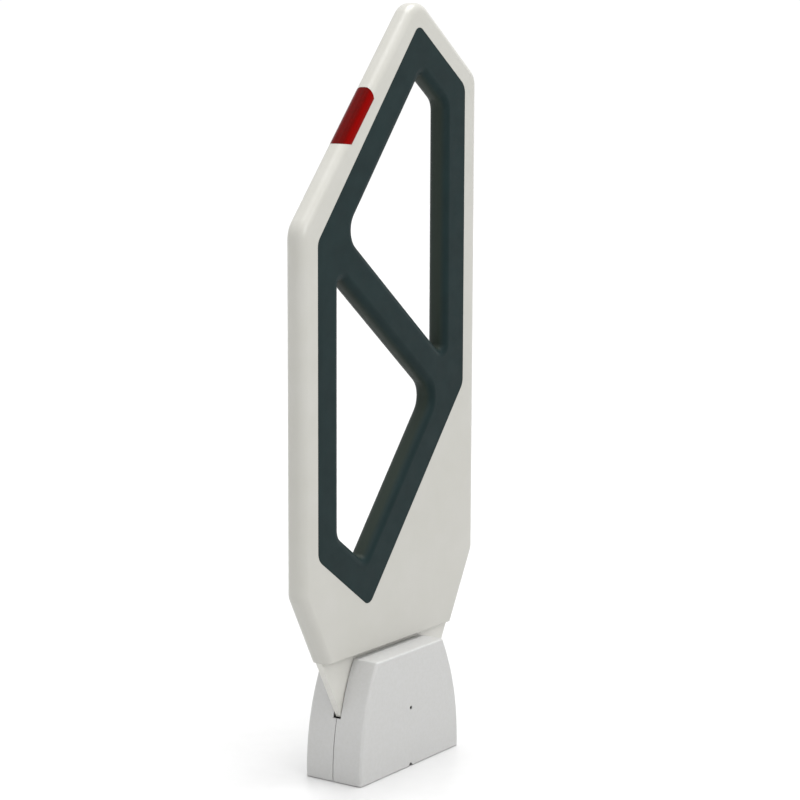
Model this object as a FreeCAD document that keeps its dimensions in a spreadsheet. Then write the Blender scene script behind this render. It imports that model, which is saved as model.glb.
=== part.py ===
# Anti-theft detection pedestal: a hollow white panel with two windows, carried by a flat neck
# on a low base.  Millimetres, +Z up, X along the panel, the front is -Y.  The origin is the
# middle of the base on the floor.
import FreeCAD, Part
import math
import os
import re
import Sketcher

DRIVING_SIZES = [
    ("Panel outline", [
        ("panel_width", 620.0),
        ("panel_depth", 46.0),
        ("panel_wall", 3.0),
        ("neck_gap", 12.0),
        ("flank_foot_height", 407.0),
        ("flank_lean", 0.545),
        ("crown_place", 84.5),
        ("crown_height", 1596.6),
        ("crown_slope_left", 1.1587),
        ("crown_slope_right", 0.737),
        ("crown_radius", 52.0),
        ("left_shoulder_radius", 58.0),
        ("right_shoulder_radius", 40.0),
        ("flank_radius", 28.0),
        ("panel_edge_radius", 18.0),
    ]),
    ("Dark insert and its two windows", [
        ("border", 49.7),
        ("insert_centre_height", 944.3),
        ("insert_peak_place", 85.6),
        ("insert_peak_rise", 590.7),
        ("insert_slope_long", 1.2218),
        ("insert_slope_short", 0.7239),
        ("insert_gap", 0.3),
        ("insert_wall", 2.5),
        ("insert_flange", 8.0),
        ("insert_peak_radius", 20.0),
        ("insert_shoulder_radius", 30.0),
        ("frame_width", 74.8),
        ("frame_width_short", 73.0),
        ("bar_width", 83.4),
        ("bar_slope", 0.8012),
        ("window_peak_radius", 12.0),
        ("window_heel_radius", 30.0),
        ("window_toe_radius", 9.0),
        ("window_elbow_radius", 42.0),
        ("window_rim_radius", 19.0),
        ("rim_thick", 12.0),
    ]),
    ("Antenna loops", [
        ("loop_offset", 33.0),
        ("loop_section", 6.0),
        ("loop_bend_radius", 14.0),
        ("loop_clip_wall", 1.5),
        ("loop_clip_length", 14.0),
        ("lead_radius", 2.5),
        ("lead_bend", 9.0),
        ("long_bend", 40.0),
        ("bracket_cable_height", 98.0),
        ("bracket_cable_radius", 8.0),
        ("junction_width", 50.0),
        ("junction_height", 24.0),
        ("junction_depth", 14.0),
        ("junction_gap", 6.0),
        ("tail_place", 20.0),
        ("bridge_half", 20.0),
    ]),
    ("Alarm lamp", [
        ("lamp_place", 212.0),
        ("lamp_length", 144.0),
        ("lamp_inset", 19.0),
        ("lamp_taper", 13.5),
        ("lens_wall", 2.5),
        ("lens_gap", 0.3),
        ("lamp_board_thick", 1.6),
        ("lamp_board_depth", 36.0),
        ("led_side", 5.0),
        ("led_tall", 2.0),
        ("led_pitch", 20.0),
        ("lamp_lead_radius", 2.0),
        ("lead_lane", 37.8),
        ("lead_slope_lane", 29.8),
    ]),
    ("Neck tongue", [
        ("tongue_thick", 15.0),
        ("tongue_sink", 115.5),
        ("tongue_root_rise", 69.5),
        ("tongue_root_half", 150.0),
        ("tongue_gap", 0.3),
        ("tongue_edge_radius", 2.0),
        ("cable_bore_radius", 4.5),
        ("cable_bore_place", 30.0),
        ("tongue_screw_place", 110.0),
        ("tongue_screw_rise", 22.0),
        ("tongue_screw_spacing", 30.0),
    ]),
    ("Base covers", [
        ("base_length", 361.2),
        ("base_depth", 140.0),
        ("base_height", 248.5),
        ("base_wall", 3.0),
        ("end_arc_radius", 470.0),
        ("end_arc_height", 20.0),
        ("cover_floor_gap", 1.5),
        ("cover_seam", 1.6),
        ("cover_corner_radius", 7.0),
        ("cover_top_radius", 4.0),
        ("slot_clearance", 2.2),
        ("slot_floor_gap", 2.2),
        ("drip_notch_radius", 6.0),
        ("cover_screw_height", 126.0),
        ("cover_hole_radius", 4.2),
        ("cover_boss_wall", 2.5),
        ("cover_boss_length", 14.0),
        ("screw_sink", 5.5),
        ("cover_pull", 120.0),
    ]),
    ("Fasteners", [
        ("small_screw_radius", 2.0),
        ("small_head_radius", 3.5),
        ("small_head_tall", 4.0),
        ("screw_gap", 0.1),
        ("clamp_bolt_radius", 4.0),
        ("clamp_head_radius", 6.5),
        ("clamp_head_tall", 5.5),
        ("clamp_bolt_spare", 1.5),
        ("clamp_hole_gap", 0.3),
        ("dowel_radius", 2.5),
        ("dowel_length", 20.0),
        ("dowel_boss_radius", 5.0),
        ("dowel_gap", 0.05),
    ]),
    ("Floor plate and clamp brackets", [
        ("pad_thick", 3.0),
        ("pad_radius", 10.0),
        ("pad_place", 91.0),
        ("plate_thick", 6.0),
        ("plate_length", 340.0),
        ("plate_depth", 130.0),
        ("plate_corner_radius", 6.0),
        ("anchor_radius", 6.0),
        ("anchor_place", 140.0),
        ("anchor_reach", 45.0),
        ("entry_radius", 14.0),
        ("entry_place", 144.0),
        ("grommet_wall", 3.0),
        ("grommet_lip", 2.0),
        ("bracket_half", 118.0),
        ("bracket_thick", 3.0),
        ("bracket_headroom", 20.5),
        ("bracket_foot", 26.0),
        ("bracket_bend_radius", 2.5),
        ("clamp_bolt_place", 80.0),
        ("clamp_bolt_lift", 27.0),
        ("clamp_bolt_rise", 45.0),
        ("foot_screw_place", 100.0),
        ("foot_screw_reach", 26.0),
    ]),
    ("Electronics in the base", [
        ("board_low", 22.0),
        ("board_tall", 92.0),
        ("board_start", 20.0),
        ("board_long", 92.0),
        ("board_thick", 1.6),
        ("standoff_length", 10.0),
        ("standoff_radius", 3.5),
        ("standoff_inset", 6.0),
        ("chip_start", 24.0),
        ("chip_side", 18.0),
        ("second_chip_step", 25.2),
        ("chip_tall", 3.0),
        ("capacitor_radius", 7.0),
        ("capacitor_tall", 22.0),
        ("capacitor_pitch", 16.8),
        ("relay_side", 16.0),
        ("relay_drop", 19.2),
        ("sink_fin_pitch", 6.0),
        ("sink_fin_thick", 2.0),
        ("sink_tall", 20.0),
        ("sink_long", 32.0),
        ("sink_base", 3.0),
        ("sink_start", 12.6),
        ("sink_rise", 23.4),
        ("sink_fin_tall", 9.0),
        ("transformer_radius", 34.0),
        ("transformer_depth", 32.0),
        ("transformer_bore", 10.0),
        ("transformer_place", 64.0),
        ("transformer_height", 70.0),
        ("terminal_long", 60.0),
        ("terminal_tall", 16.0),
        ("terminal_depth", 18.0),
        ("terminal_start", -68.0),
        ("terminal_height", 36.0),
        ("fuse_radius", 6.5),
        ("fuse_start", -84.0),
        ("fuse_long", 40.0),
        ("fuse_height", 92.0),
        ("buzzer_radius", 15.0),
        ("buzzer_depth", 14.0),
        ("buzzer_place", -78.0),
        ("buzzer_height", 60.0),
        ("earth_place", 96.0),
        ("earth_reach", 50.0),
        ("earth_tall", 20.0),
    ]),
]

doc = FreeCAD.newDocument("detection_pedestal")
sizes = doc.addObject("Spreadsheet::Sheet", "sizes")
aliases = set()
row = 1
for title, cells in DRIVING_SIZES:
    sizes.set(f"A{row}", title)
    row += 1
    for alias, amount in cells:
        sizes.set(f"A{row}", alias)
        sizes.set(f"B{row}", str(amount))
        sizes.setAlias(f"B{row}", alias)
        aliases.add(alias)
        row += 1
doc.recompute()

sub_parts = []


# ---- helpers: expressions, sketches and the features made on them ----

def cell(expression):
    """The expression with every alias written as a cell of the sheet."""
    def name_cell(match):
        word = match.group()
        return "sizes." + word if word in aliases else word
    return re.sub(r"[a-z][a-z_]*", name_cell, str(expression))


def amount_of(expression):
    """The number that an expression gives now."""
    return float(sizes.evalExpression(cell(expression)))


def bind(thing, name, expression):
    thing.setExpression(name, cell(expression))


def keep(thing, label):
    """Name a finished sub-part; it is written to its own file at the end."""
    thing.Label = label
    sub_parts.append(thing)
    return thing


def new_body(name):
    return doc.addObject("PartDesign::Body", name)


def plane_of(body, role):
    for feature in body.Origin.OriginFeatures:
        if feature.Role == role:
            return feature
    raise ValueError(role)


def new_sketch(body, name, role, lift):
    sketch = body.newObject("Sketcher::SketchObject", name)
    sketch.AttachmentSupport = (plane_of(body, role), [""])
    sketch.MapMode = "FlatFace"
    bind(sketch, "AttachmentOffset.Base.z", lift)
    return sketch


def hold(sketch, kind, numbers, expression):
    """Add one dimension to a sketch and bind it to the sheet."""
    index = sketch.addConstraint(Sketcher.Constraint(kind, *numbers, amount_of(expression)))
    sketch.renameConstraint(index, f"size_{index}")
    bind(sketch, f"Constraints.size_{index}", expression)


def draw_outline(sketch, corners, arcs=None):
    """A closed outline through the corners; arcs gives centre and radius of its round runs."""
    arcs = arcs or {}
    spots = [FreeCAD.Vector(amount_of(u), amount_of(v), 0) for u, v in corners]
    first = sketch.GeometryCount
    for i, start in enumerate(spots):
        end = spots[(i + 1) % len(spots)]
        if i in arcs:
            centre = FreeCAD.Vector(amount_of(arcs[i][0]), amount_of(arcs[i][1]), 0)
            towards = ((start + end) * 0.5 - centre).normalize()
            middle = centre + towards * amount_of(arcs[i][2])
            sketch.addGeometry(Part.ArcOfCircle(start, middle, end))
        else:
            sketch.addGeometry(Part.LineSegment(start, end))
    for i, (u, v) in enumerate(corners):
        this = first + i
        after = first + (i + 1) % len(corners)
        this_end = arc_end(sketch, this, spots[(i + 1) % len(spots)])
        after_start = arc_end(sketch, after, spots[(i + 1) % len(spots)])
        sketch.addConstraint(Sketcher.Constraint("Coincident", this, this_end, after, after_start))
        this_start = arc_end(sketch, this, spots[i])
        hold(sketch, "DistanceX", (-1, 1, this, this_start), u)
        hold(sketch, "DistanceY", (-1, 1, this, this_start), v)
        if i in arcs:
            hold(sketch, "Radius", (this,), arcs[i][2])


def arc_end(sketch, index, spot):
    """Which end of a line or arc lies on the spot: 1 is its start, 2 is its end."""
    return 1 if sketch.getPoint(index, 1).distanceToPoint(spot) < 1e-6 else 2


def draw_circle(sketch, u, v, radius):
    spot = FreeCAD.Vector(amount_of(u), amount_of(v), 0)
    index = sketch.addGeometry(Part.Circle(spot, FreeCAD.Vector(0, 0, 1), amount_of(radius)))
    hold(sketch, "DistanceX", (-1, 1, index, 3), u)
    hold(sketch, "DistanceY", (-1, 1, index, 3), v)
    hold(sketch, "Radius", (index,), radius)


def extrude(body, sketch, length, along_normal=True, cut=False):
    """Pad or pocket a sketch, along its plane's normal or against it."""
    before = body.Shape.Volume if cut else 0.0
    kind = "PartDesign::Pocket" if cut else "PartDesign::Pad"
    feature = body.newObject(kind, sketch.Name + ("_cut" if cut else "_pad"))
    feature.Profile = sketch
    feature.Reversed = along_normal if cut else not along_normal
    bind(feature, "Length", length)
    doc.recompute()
    if cut and not body.Shape.Volume < before:
        raise ValueError(f"{feature.Name} cuts nothing")
    return feature


def slab(body, name, corners, near, far, side, cut=False, arcs=None):
    """An elevation outline (X, Z) extruded from one distance off the middle plane to another."""
    front = side == "front"
    sketch = new_sketch(body, name, "XZ_Plane", near if front else f"-({near})")
    draw_outline(sketch, corners, arcs)
    return extrude(body, sketch, f"({far}) - ({near})", front, cut)


def hole_across(body, name, places, radius, near, far, side):
    """Round holes along Y, from one distance off the middle plane to another."""
    front = side == "front"
    sketch = new_sketch(body, name, "XZ_Plane", near if front else f"-({near})")
    for x, z in places:
        draw_circle(sketch, x, z, radius)
    return extrude(body, sketch, f"({far}) - ({near})", front, cut=True)


def boss_across(body, name, places, radius, near, far, side):
    """Round bosses along Y, one pad for each because they stand apart."""
    front = side == "front"
    for number, (x, z) in enumerate(places):
        sketch = new_sketch(body, f"{name}_{number}", "XZ_Plane", near if front else f"-({near})")
        draw_circle(sketch, x, z, radius)
        extrude(body, sketch, f"({far}) - ({near})", front)


def hole_down(body, name, places, radius, low, high):
    """Round holes along Z between two heights."""
    sketch = new_sketch(body, name, "XY_Plane", low)
    for x, y in places:
        draw_circle(sketch, x, y, radius)
    return extrude(body, sketch, f"({high}) - ({low})", True, cut=True)


def round_edges(body, names, radius, name):
    """Fillet the named edges of the body's present shape."""
    base = body.Tip
    if not names:
        raise ValueError(f"{name} finds no edge")
    feature = body.newObject("PartDesign::Fillet", name)
    feature.Base = (base, names)
    bind(feature, "Radius", radius)
    doc.recompute()
    if "Invalid" in feature.State:
        raise ValueError(f"{name}: {feature.getStatusString()}")
    return feature


def edges_where(body, test):
    return [f"Edge{i + 1}" for i, edge in enumerate(body.Shape.Edges) if test(edge)]


def edges_across_at(body, spots):
    """The edges along Y that stand on the given elevation corners."""
    places = [(amount_of(x), amount_of(z)) for x, z in spots]

    def stands(edge):
        a = edge.Vertexes[0].Point
        b = edge.Vertexes[-1].Point
        level = abs(a.x - b.x) < 0.01 and abs(a.z - b.z) < 0.01 and abs(a.y - b.y) > 0.01
        return level and any(math.hypot(a.x - x, a.z - z) < 0.05 for x, z in places)
    return edges_where(body, stands)


def edges_on_face(body, y, test):
    """The edges that lie in the plane Y = y and whose middle passes the test."""
    def lies(edge):
        box = edge.BoundBox
        flat = abs(box.YMin - y) < 0.01 and abs(box.YMax - y) < 0.01
        middle = edge.CenterOfMass
        return flat and test(middle.x, middle.z)
    return edges_where(body, lies)


# ---- helpers: bolts, blocks and rings from Part primitives ----

TURNS = {
    "up": FreeCAD.Rotation(),
    "front": FreeCAD.Rotation(FreeCAD.Vector(1, 0, 0), 90),
    "rear": FreeCAD.Rotation(FreeCAD.Vector(1, 0, 0), -90),
    "right": FreeCAD.Rotation(FreeCAD.Vector(0, 1, 0), 90),
}


def place(thing, at, turn="up"):
    thing.Placement = FreeCAD.Placement(FreeCAD.Vector(), TURNS[turn])
    for axis, expression in zip("xyz", at):
        bind(thing, f"Placement.Base.{axis}", expression)
    return thing


def rod(radius, length, at, turn="up"):
    thing = doc.addObject("Part::Cylinder", "rod")
    bind(thing, "Radius", radius)
    bind(thing, "Height", length)
    return place(thing, at, turn)


def block(low, high):
    thing = doc.addObject("Part::Box", "block")
    for name, a, b in zip(("Length", "Width", "Height"), low, high):
        bind(thing, name, f"({b}) - ({a})")
    return place(thing, low)


def cut_from(base, tools):
    thing = doc.addObject("Part::Cut", "cut")
    thing.Base = base
    thing.Tool = tools[0] if len(tools) == 1 else fused(tools)
    return thing


def fused(pieces):
    thing = doc.addObject("Part::MultiFuse", "fused")
    thing.Shapes = pieces
    return thing


def grouped(pieces):
    """Separate solids that share one node."""
    thing = doc.addObject("Part::Compound", "group")
    thing.Links = pieces
    return thing


def bolt(at, turn, radius, length, head_radius, head_tall):
    """A headed bolt: its head starts at the place and its shank runs the way it turns."""
    x, y, z = at
    back = {
        "front": (x, f"({y}) + ({head_tall})", z),
        "rear": (x, f"({y}) - ({head_tall})", z),
        "up": (x, y, f"({z}) - ({head_tall})"),
    }[turn]
    head = rod(head_radius, head_tall, back, turn)
    shank = rod(radius, f"({length}) + ({head_tall})", back, turn)
    return fused([head, shank])


def bent_tube(name, route, radius, bends):
    """A round cable through the route's points, with each corner an arc of its own radius."""
    spots = [FreeCAD.Vector(*[amount_of(value) for value in spot]) for spot in route]
    edges = []
    start = spots[0]
    for before, corner, after, bend in zip(spots, spots[1:], spots[2:], bends):
        inward = (before - corner).normalize()
        onward = (after - corner).normalize()
        half = inward.getAngle(onward) / 2
        reach = amount_of(bend) / math.tan(half)
        bisector = (inward + onward).normalize()
        centre = corner + bisector * (amount_of(bend) / math.sin(half))
        middle = centre - bisector * amount_of(bend)
        edges.append(Part.makeLine(start, corner + inward * reach))
        edges.append(Part.Arc(corner + inward * reach, middle, corner + onward * reach).toShape())
        start = corner + onward * reach
    edges.append(Part.makeLine(start, spots[-1]))
    path = Part.Wire(edges)
    ring = Part.Wire([Part.makeCircle(amount_of(radius), spots[0], spots[1] - spots[0])])
    tube = path.makePipeShell([ring], True, True)
    expected = math.pi * amount_of(radius) ** 2 * path.Length
    if abs(tube.Volume - expected) > 0.01 * expected:
        raise ValueError(f"{name} is not a clean tube")
    thing = doc.addObject("Part::Feature", name)
    thing.Shape = tube
    return keep(thing, name)


# ---- outlines shared by the pieces that fit each other ----

PANEL_HALF = "panel_width / 2"
PANEL_FOOT = "(base_height + neck_gap)"
TONGUE_FOOT = "(base_height - tongue_sink)"
TONGUE_TOP = f"({PANEL_FOOT} + tongue_root_rise)"
FACE = "panel_depth / 2"
INNER_FACE = "panel_depth / 2 - panel_wall"
SIDE_SIGN = {"front": -1, "rear": 1}


def crown_left(x, inset="0"):
    drop = f"({inset}) * sqrt(1 + crown_slope_left ^ 2)"
    return f"crown_height - {drop} - crown_slope_left * (crown_place - ({x}))"


def crown_right(x, inset="0"):
    drop = f"({inset}) * sqrt(1 + crown_slope_right ^ 2)"
    return f"crown_height - {drop} - crown_slope_right * (({x}) - crown_place)"


def flank_half(z, inset="0"):
    """Half the panel's length at a height below its flanks, where the ends lean in."""
    lean = f"flank_lean * (flank_foot_height - ({z}))"
    return f"panel_width / 2 - {lean} - ({inset}) * sqrt(1 + flank_lean ^ 2)"


def panel_outline(inset="0"):
    """The panel's seven corners, from the foot's left end clockwise, moved in by the inset."""
    side = f"(panel_width / 2 - ({inset}))"
    foot_z = f"{PANEL_FOOT} + ({inset})"
    foot = flank_half(foot_z, inset)
    flank_z = f"flank_foot_height + ({inset}) * (sqrt(1 + flank_lean ^ 2) - 1) / flank_lean"
    steep = "sqrt(1 + crown_slope_left ^ 2)"
    shallow = "sqrt(1 + crown_slope_right ^ 2)"
    crown_x = (f"(crown_place + ({inset}) * ({steep} - {shallow})"
               " / (crown_slope_left + crown_slope_right))")
    return [
        (f"-({foot})", foot_z),
        (f"-{side}", flank_z),
        (f"-{side}", crown_left(f"-{side}", inset)),
        (crown_x, crown_left(crown_x, inset)),
        (side, crown_right(side, inset)),
        (side, flank_z),
        (foot, foot_z),
    ]


def insert_outline(grow):
    """The insert's hexagon, the same seen from either end; grow moves every side outwards."""
    half = f"(panel_width / 2 - border + ({grow}))"
    lift_long = f"({grow}) * sqrt(1 + insert_slope_long ^ 2)"
    lift_short = f"({grow}) * sqrt(1 + insert_slope_short ^ 2)"
    peak_x = (f"(insert_peak_place + (({lift_short}) - ({lift_long}))"
              " / (insert_slope_long + insert_slope_short))")
    peak = f"insert_peak_rise + {lift_long} + insert_slope_long * ({peak_x} - insert_peak_place)"
    left = f"insert_peak_rise + {lift_long} - insert_slope_long * (insert_peak_place + {half})"
    right = f"insert_peak_rise + {lift_short} - insert_slope_short * ({half} - insert_peak_place)"
    rises = [(f"-{half}", left), (peak_x, peak), (half, right)]
    upper = [(x, f"insert_centre_height + ({rise})") for x, rise in rises]
    lower = [(f"-({x})", f"insert_centre_height - ({rise})") for x, rise in rises]
    return upper + lower


def window_outline(grow, which):
    """A window's four corners: elbow, peak, heel and toe; grow moves every side outwards."""
    frame = f"(frame_width - ({grow}))"
    bar = f"(bar_width / 2 - ({grow})) * sqrt(1 + bar_slope ^ 2)"
    long_drop = f"{frame} * sqrt(1 + insert_slope_long ^ 2)"
    short_drop = f"(frame_width_short - ({grow})) * sqrt(1 + insert_slope_short ^ 2)"
    edge = f"(panel_width / 2 - border - {frame})"
    elbow_x = (f"(({bar} - insert_peak_rise + {long_drop} + insert_slope_long * insert_peak_place)"
               " / (insert_slope_long + bar_slope))")
    peak_x = (f"(insert_peak_place + ({long_drop} - {short_drop})"
              " / (insert_slope_long + insert_slope_short))")
    rises = [
        (elbow_x, f"{bar} - bar_slope * {elbow_x}"),
        (peak_x, f"insert_peak_rise - {long_drop} + insert_slope_long * ({peak_x} - insert_peak_place)"),
        (edge, f"insert_peak_rise - {short_drop} - insert_slope_short * ({edge} - insert_peak_place)"),
        (edge, f"{bar} - bar_slope * {edge}"),
    ]
    if which == "upper":
        return [(x, f"insert_centre_height + ({rise})") for x, rise in rises]
    return [(f"-({x})", f"insert_centre_height - ({rise})") for x, rise in rises]


WINDOW_RADII = ["window_elbow_radius", "window_peak_radius", "window_heel_radius", "window_toe_radius"]


def round_window(body, grow, which, name, offset="0"):
    """Round the four corners of a window outline; a larger offset gives larger rounds."""
    for number, (corner, radius) in enumerate(zip(window_outline(grow, which), WINDOW_RADII)):
        round_edges(body, edges_across_at(body, [corner]), f"{radius} + ({offset})", f"{name}_{number}")


def along_slope(s, n):
    """A point on the upper left slope: s along it from the shoulder, n in from its edge."""
    run = "sqrt(1 + crown_slope_left ^ 2)"
    x = f"-{PANEL_HALF} + (({s}) + ({n}) * crown_slope_left) / {run}"
    z = f"{crown_left('-' + PANEL_HALF)} + (({s}) * crown_slope_left - ({n})) / {run}"
    return x, z


def lamp_outline(grow, outward, inward):
    """The lamp's trapezoid on the slope, from outward of the edge to its inner side."""
    lean = "lamp_taper / lamp_inset"
    low = f"lamp_place - ({grow})"
    high = f"lamp_place + lamp_length + ({grow})"
    inner = f"lamp_inset + ({inward})"
    return [
        along_slope(f"{low} - ({outward}) * {lean}", f"-({outward})"),
        along_slope(f"{high} + ({outward}) * {lean}", f"-({outward})"),
        along_slope(f"{high} - ({inner}) * {lean}", inner),
        along_slope(f"{low} + ({inner}) * {lean}", inner),
    ]


def dowel_places():
    """Where the two shell halves are pinned together, in the white border."""
    x = f"{PANEL_HALF} - border / 2 - dowel_boss_radius / 2"
    top = crown_right(x) + " - border * 1.3"
    return [
        (f"-({x})", "flank_foot_height + border"),
        (x, "flank_foot_height + border"),
        (f"-({x})", "insert_centre_height"),
        (x, "insert_centre_height"),
        (x, top),
    ]


def insert_pin_places():
    """Where the two insert halves are pinned together, between loop and insert edge."""
    x = "panel_width / 2 - border - frame_width / 5"
    return [
        (x, "insert_centre_height + insert_peak_rise / 2"),
        (x, "insert_centre_height"),
        (f"-({x})", "insert_centre_height"),
        (f"-({x})", "insert_centre_height - insert_peak_rise / 2"),
    ]


# ---- the panel ----

def make_panel_shell(side):
    """One half of the hollow white panel: the halves meet at the middle plane."""
    body = new_body(f"panel_shell_{side}")
    slab(body, f"outline_{side}", panel_outline(), "0", FACE, side)
    slab(body, f"cavity_{side}", panel_outline("panel_wall"), "0", INNER_FACE, side, cut=True)
    round_panel(body, side, "panel_wall")
    round_panel(body, side, "0")
    slab(body, f"insert_hole_{side}", insert_outline("insert_gap"), f"{FACE} - 2 * panel_wall", FACE,
         side, cut=True)
    round_insert_corners(body, "insert_gap", f"hole_corner_{side}")
    slab(body, f"lamp_hole_{side}", lamp_outline("lens_gap", "lamp_inset", "lens_gap"), "0", FACE,
         side, cut=True)
    add_dowel_bosses(body, side)
    root = "tongue_root_half + tongue_gap"
    slab(body, f"tongue_slot_{side}", [
        (f"-({root})", f"{PANEL_FOOT} - panel_wall"),
        (root, f"{PANEL_FOOT} - panel_wall"),
        (root, f"{PANEL_FOOT} + 2 * panel_wall"),
        (f"-({root})", f"{PANEL_FOOT} + 2 * panel_wall"),
    ], "0", "tongue_thick / 2 + tongue_gap", side, cut=True)
    if side == "front":
        boss_across(body, "tongue_boss", tongue_screw_places(), "dowel_boss_radius",
                    "tongue_thick / 2", INNER_FACE, side)
        hole_across(body, "tongue_boss_bore", tongue_screw_places(),
                    "small_screw_radius + screw_gap", "tongue_thick / 2", INNER_FACE, side)
    return keep(body, f"panel_shell_{side}")


def round_panel(body, side, inset):
    """Round the outline's corners and then its edge at the broad face, outside or inside."""
    outline = panel_outline(inset)
    kind = "outer" if inset == "0" else "inner"
    rounds = [
        (outline[1], "flank_radius"),
        (outline[2], "left_shoulder_radius"),
        (outline[3], "crown_radius"),
        (outline[4], "right_shoulder_radius"),
        (outline[5], "flank_radius"),
    ]
    for number, (corner, radius) in enumerate(rounds):
        spots = edges_across_at(body, [corner])
        round_edges(body, spots, f"{radius} - ({inset})", f"{kind}_corner_{side}_{number}")
    face_y = SIDE_SIGN[side] * amount_of(f"{FACE} - ({inset})")
    foot = amount_of(f"{PANEL_FOOT} + ({inset})")
    rim = edges_on_face(body, face_y, lambda x, z: z > foot + 0.5)
    round_edges(body, rim, f"panel_edge_radius - ({inset})", f"{kind}_edge_{side}")


def round_insert_corners(body, grow, name):
    """Round the insert's hexagon: two tight peaks and four softer shoulders."""
    outline = insert_outline(grow)
    peaks = [outline[1], outline[4]]
    shoulders = [outline[0], outline[2], outline[3], outline[5]]
    round_edges(body, edges_across_at(body, peaks), "insert_peak_radius", name + "_peaks")
    round_edges(body, edges_across_at(body, shoulders), "insert_shoulder_radius", name + "_sides")


def add_dowel_bosses(body, side):
    boss_across(body, f"dowel_boss_{side}", dowel_places(), "dowel_boss_radius", "0", INNER_FACE, side)
    hole_across(body, f"dowel_bore_{side}", dowel_places(), "dowel_radius + dowel_gap", "0",
                "dowel_length / 2 + screw_gap", side)


def tongue_screw_places():
    top = f"{TONGUE_TOP} - tongue_screw_rise"
    low = f"{top} - tongue_screw_spacing"
    return [(f"{sign}tongue_screw_place", z) for sign in ("-", "") for z in (top, low)]


def make_dowels(name, places):
    pins = [rod("dowel_radius", "dowel_length", (x, "dowel_length / 2", z), "front") for x, z in places]
    return keep(grouped(pins), name)


# ---- the dark insert ----

def make_band_insert(side):
    """One half of the dark insert: a flange behind the shell's face, a land that fills its
    hole, and a rim round each window that runs in to the middle plane."""
    body = new_body(f"band_insert_{side}")
    back = f"({INNER_FACE} - insert_gap - insert_wall)"
    slab(body, f"flange_{side}", insert_outline("insert_flange"), back, f"{back} + insert_wall", side)
    round_insert_corners(body, "insert_flange", f"flange_corner_{side}")
    slab(body, f"land_{side}", insert_outline("0"), back, FACE, side)
    round_land_corners(body, side)
    for which in ("upper", "lower"):
        rim = window_outline("rim_thick", which)
        slab(body, f"rim_{which}_{side}", rim, "0", f"{back} + insert_wall / 2", side)
        slab(body, f"window_{which}_{side}", window_outline("0", which), "0", FACE, side, cut=True)
        round_window(body, "0", which, f"window_round_{which}_{side}")
        round_window(body, "rim_thick", which, f"rim_round_{which}_{side}", "rim_thick")
    soften_window_rims(body, side)
    boss_across(body, f"pin_boss_{side}", insert_pin_places(), "dowel_boss_radius", "0",
                f"{back} + insert_wall / 2", side)
    hole_across(body, f"pin_bore_{side}", insert_pin_places(), "dowel_radius + dowel_gap", "0",
                "dowel_length / 2 + screw_gap", side)
    return keep(body, f"band_insert_{side}")


def round_land_corners(body, side):
    """Round the land only: its corner edges end at the visible face."""
    face_y = SIDE_SIGN[side] * amount_of(FACE)
    outline = insert_outline("0")
    radii = ["insert_shoulder_radius", "insert_peak_radius", "insert_shoulder_radius"] * 2
    for number, (corner, radius) in enumerate(zip(outline, radii)):
        spot = (amount_of(corner[0]), amount_of(corner[1]))

        def reaches(edge):
            at_face = abs(edge.BoundBox.YMin - face_y) < 0.01 or abs(edge.BoundBox.YMax - face_y) < 0.01
            middle = edge.CenterOfMass
            near = math.hypot(middle.x - spot[0], middle.z - spot[1]) < 0.05
            return at_face and near and edge.Length > 0.1
        round_edges(body, edges_where(body, reaches), radius, f"land_corner_{side}_{number}")


def soften_window_rims(body, side):
    """Round over the visible edge of both windows."""
    face_y = SIDE_SIGN[side] * amount_of(FACE)
    half = amount_of("panel_width / 2 - border - frame_width / 2")
    centre = amount_of("insert_centre_height")
    peak = amount_of("insert_peak_rise - frame_width / 2 * sqrt(1 + insert_slope_long ^ 2)")
    slope = amount_of("insert_slope_long")
    peak_place = amount_of("insert_peak_place")
    short = amount_of("insert_slope_short")

    def within(x, z):
        rise = (z - centre) if z > centre - amount_of("bar_slope") * x else (centre - z)
        across = x if z > centre - amount_of("bar_slope") * x else -x
        left = rise < peak + slope * (across - peak_place)
        right = rise < peak - short * (across - peak_place)
        return abs(x) < half and left and right
    round_edges(body, edges_on_face(body, face_y, within), "window_rim_radius", f"soft_rim_{side}")


# ---- antenna loops and what holds them ----

def make_antenna_loop(which):
    """A taped bundle of turns, square in section, all round one window."""
    body = new_body(f"{which}_antenna_loop")
    outer = "loop_offset + loop_section / 2"
    inner = "loop_offset - loop_section / 2"
    slab(body, f"loop_{which}", window_outline(outer, which), "-loop_section / 2", "loop_section / 2",
         "front")
    slab(body, f"loop_inside_{which}", window_outline(inner, which), "-loop_section / 2",
         "loop_section / 2", "front", cut=True)
    round_window(body, inner, which, f"loop_inner_round_{which}", "loop_bend_radius")
    round_window(body, outer, which, f"loop_round_{which}", "loop_bend_radius + loop_section")
    return keep(body, f"{which}_antenna_loop")


def make_loop_clips():
    """Blocks that reach from one insert half to the other and hold a loop between them."""
    reach = f"({INNER_FACE} - insert_gap - insert_wall)"
    middle = "(panel_width / 2 - border - frame_width + loop_offset)"
    outside = "(loop_section / 2 + loop_clip_wall)"
    clear = "(loop_section / 2 + screw_gap)"
    clips = []
    for sign in ("", "-"):
        for rise in ("frame_width", "insert_peak_rise / 2"):
            x = f"{sign}{middle}"
            z = f"insert_centre_height + {sign or '+'}1 * ({rise})"
            body = block((f"{x} - {outside}", f"-{reach}", f"{z} - loop_clip_length / 2"),
                         (f"{x} + {outside}", reach, f"{z} + loop_clip_length / 2"))
            channel = block((f"{x} - {clear}", f"-{clear}", f"{z} - loop_clip_length"),
                            (f"{x} + {clear}", clear, f"{z} + loop_clip_length"))
            clips.append(cut_from(body, [channel]))
    return keep(grouped(clips), "loop_clips")


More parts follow.
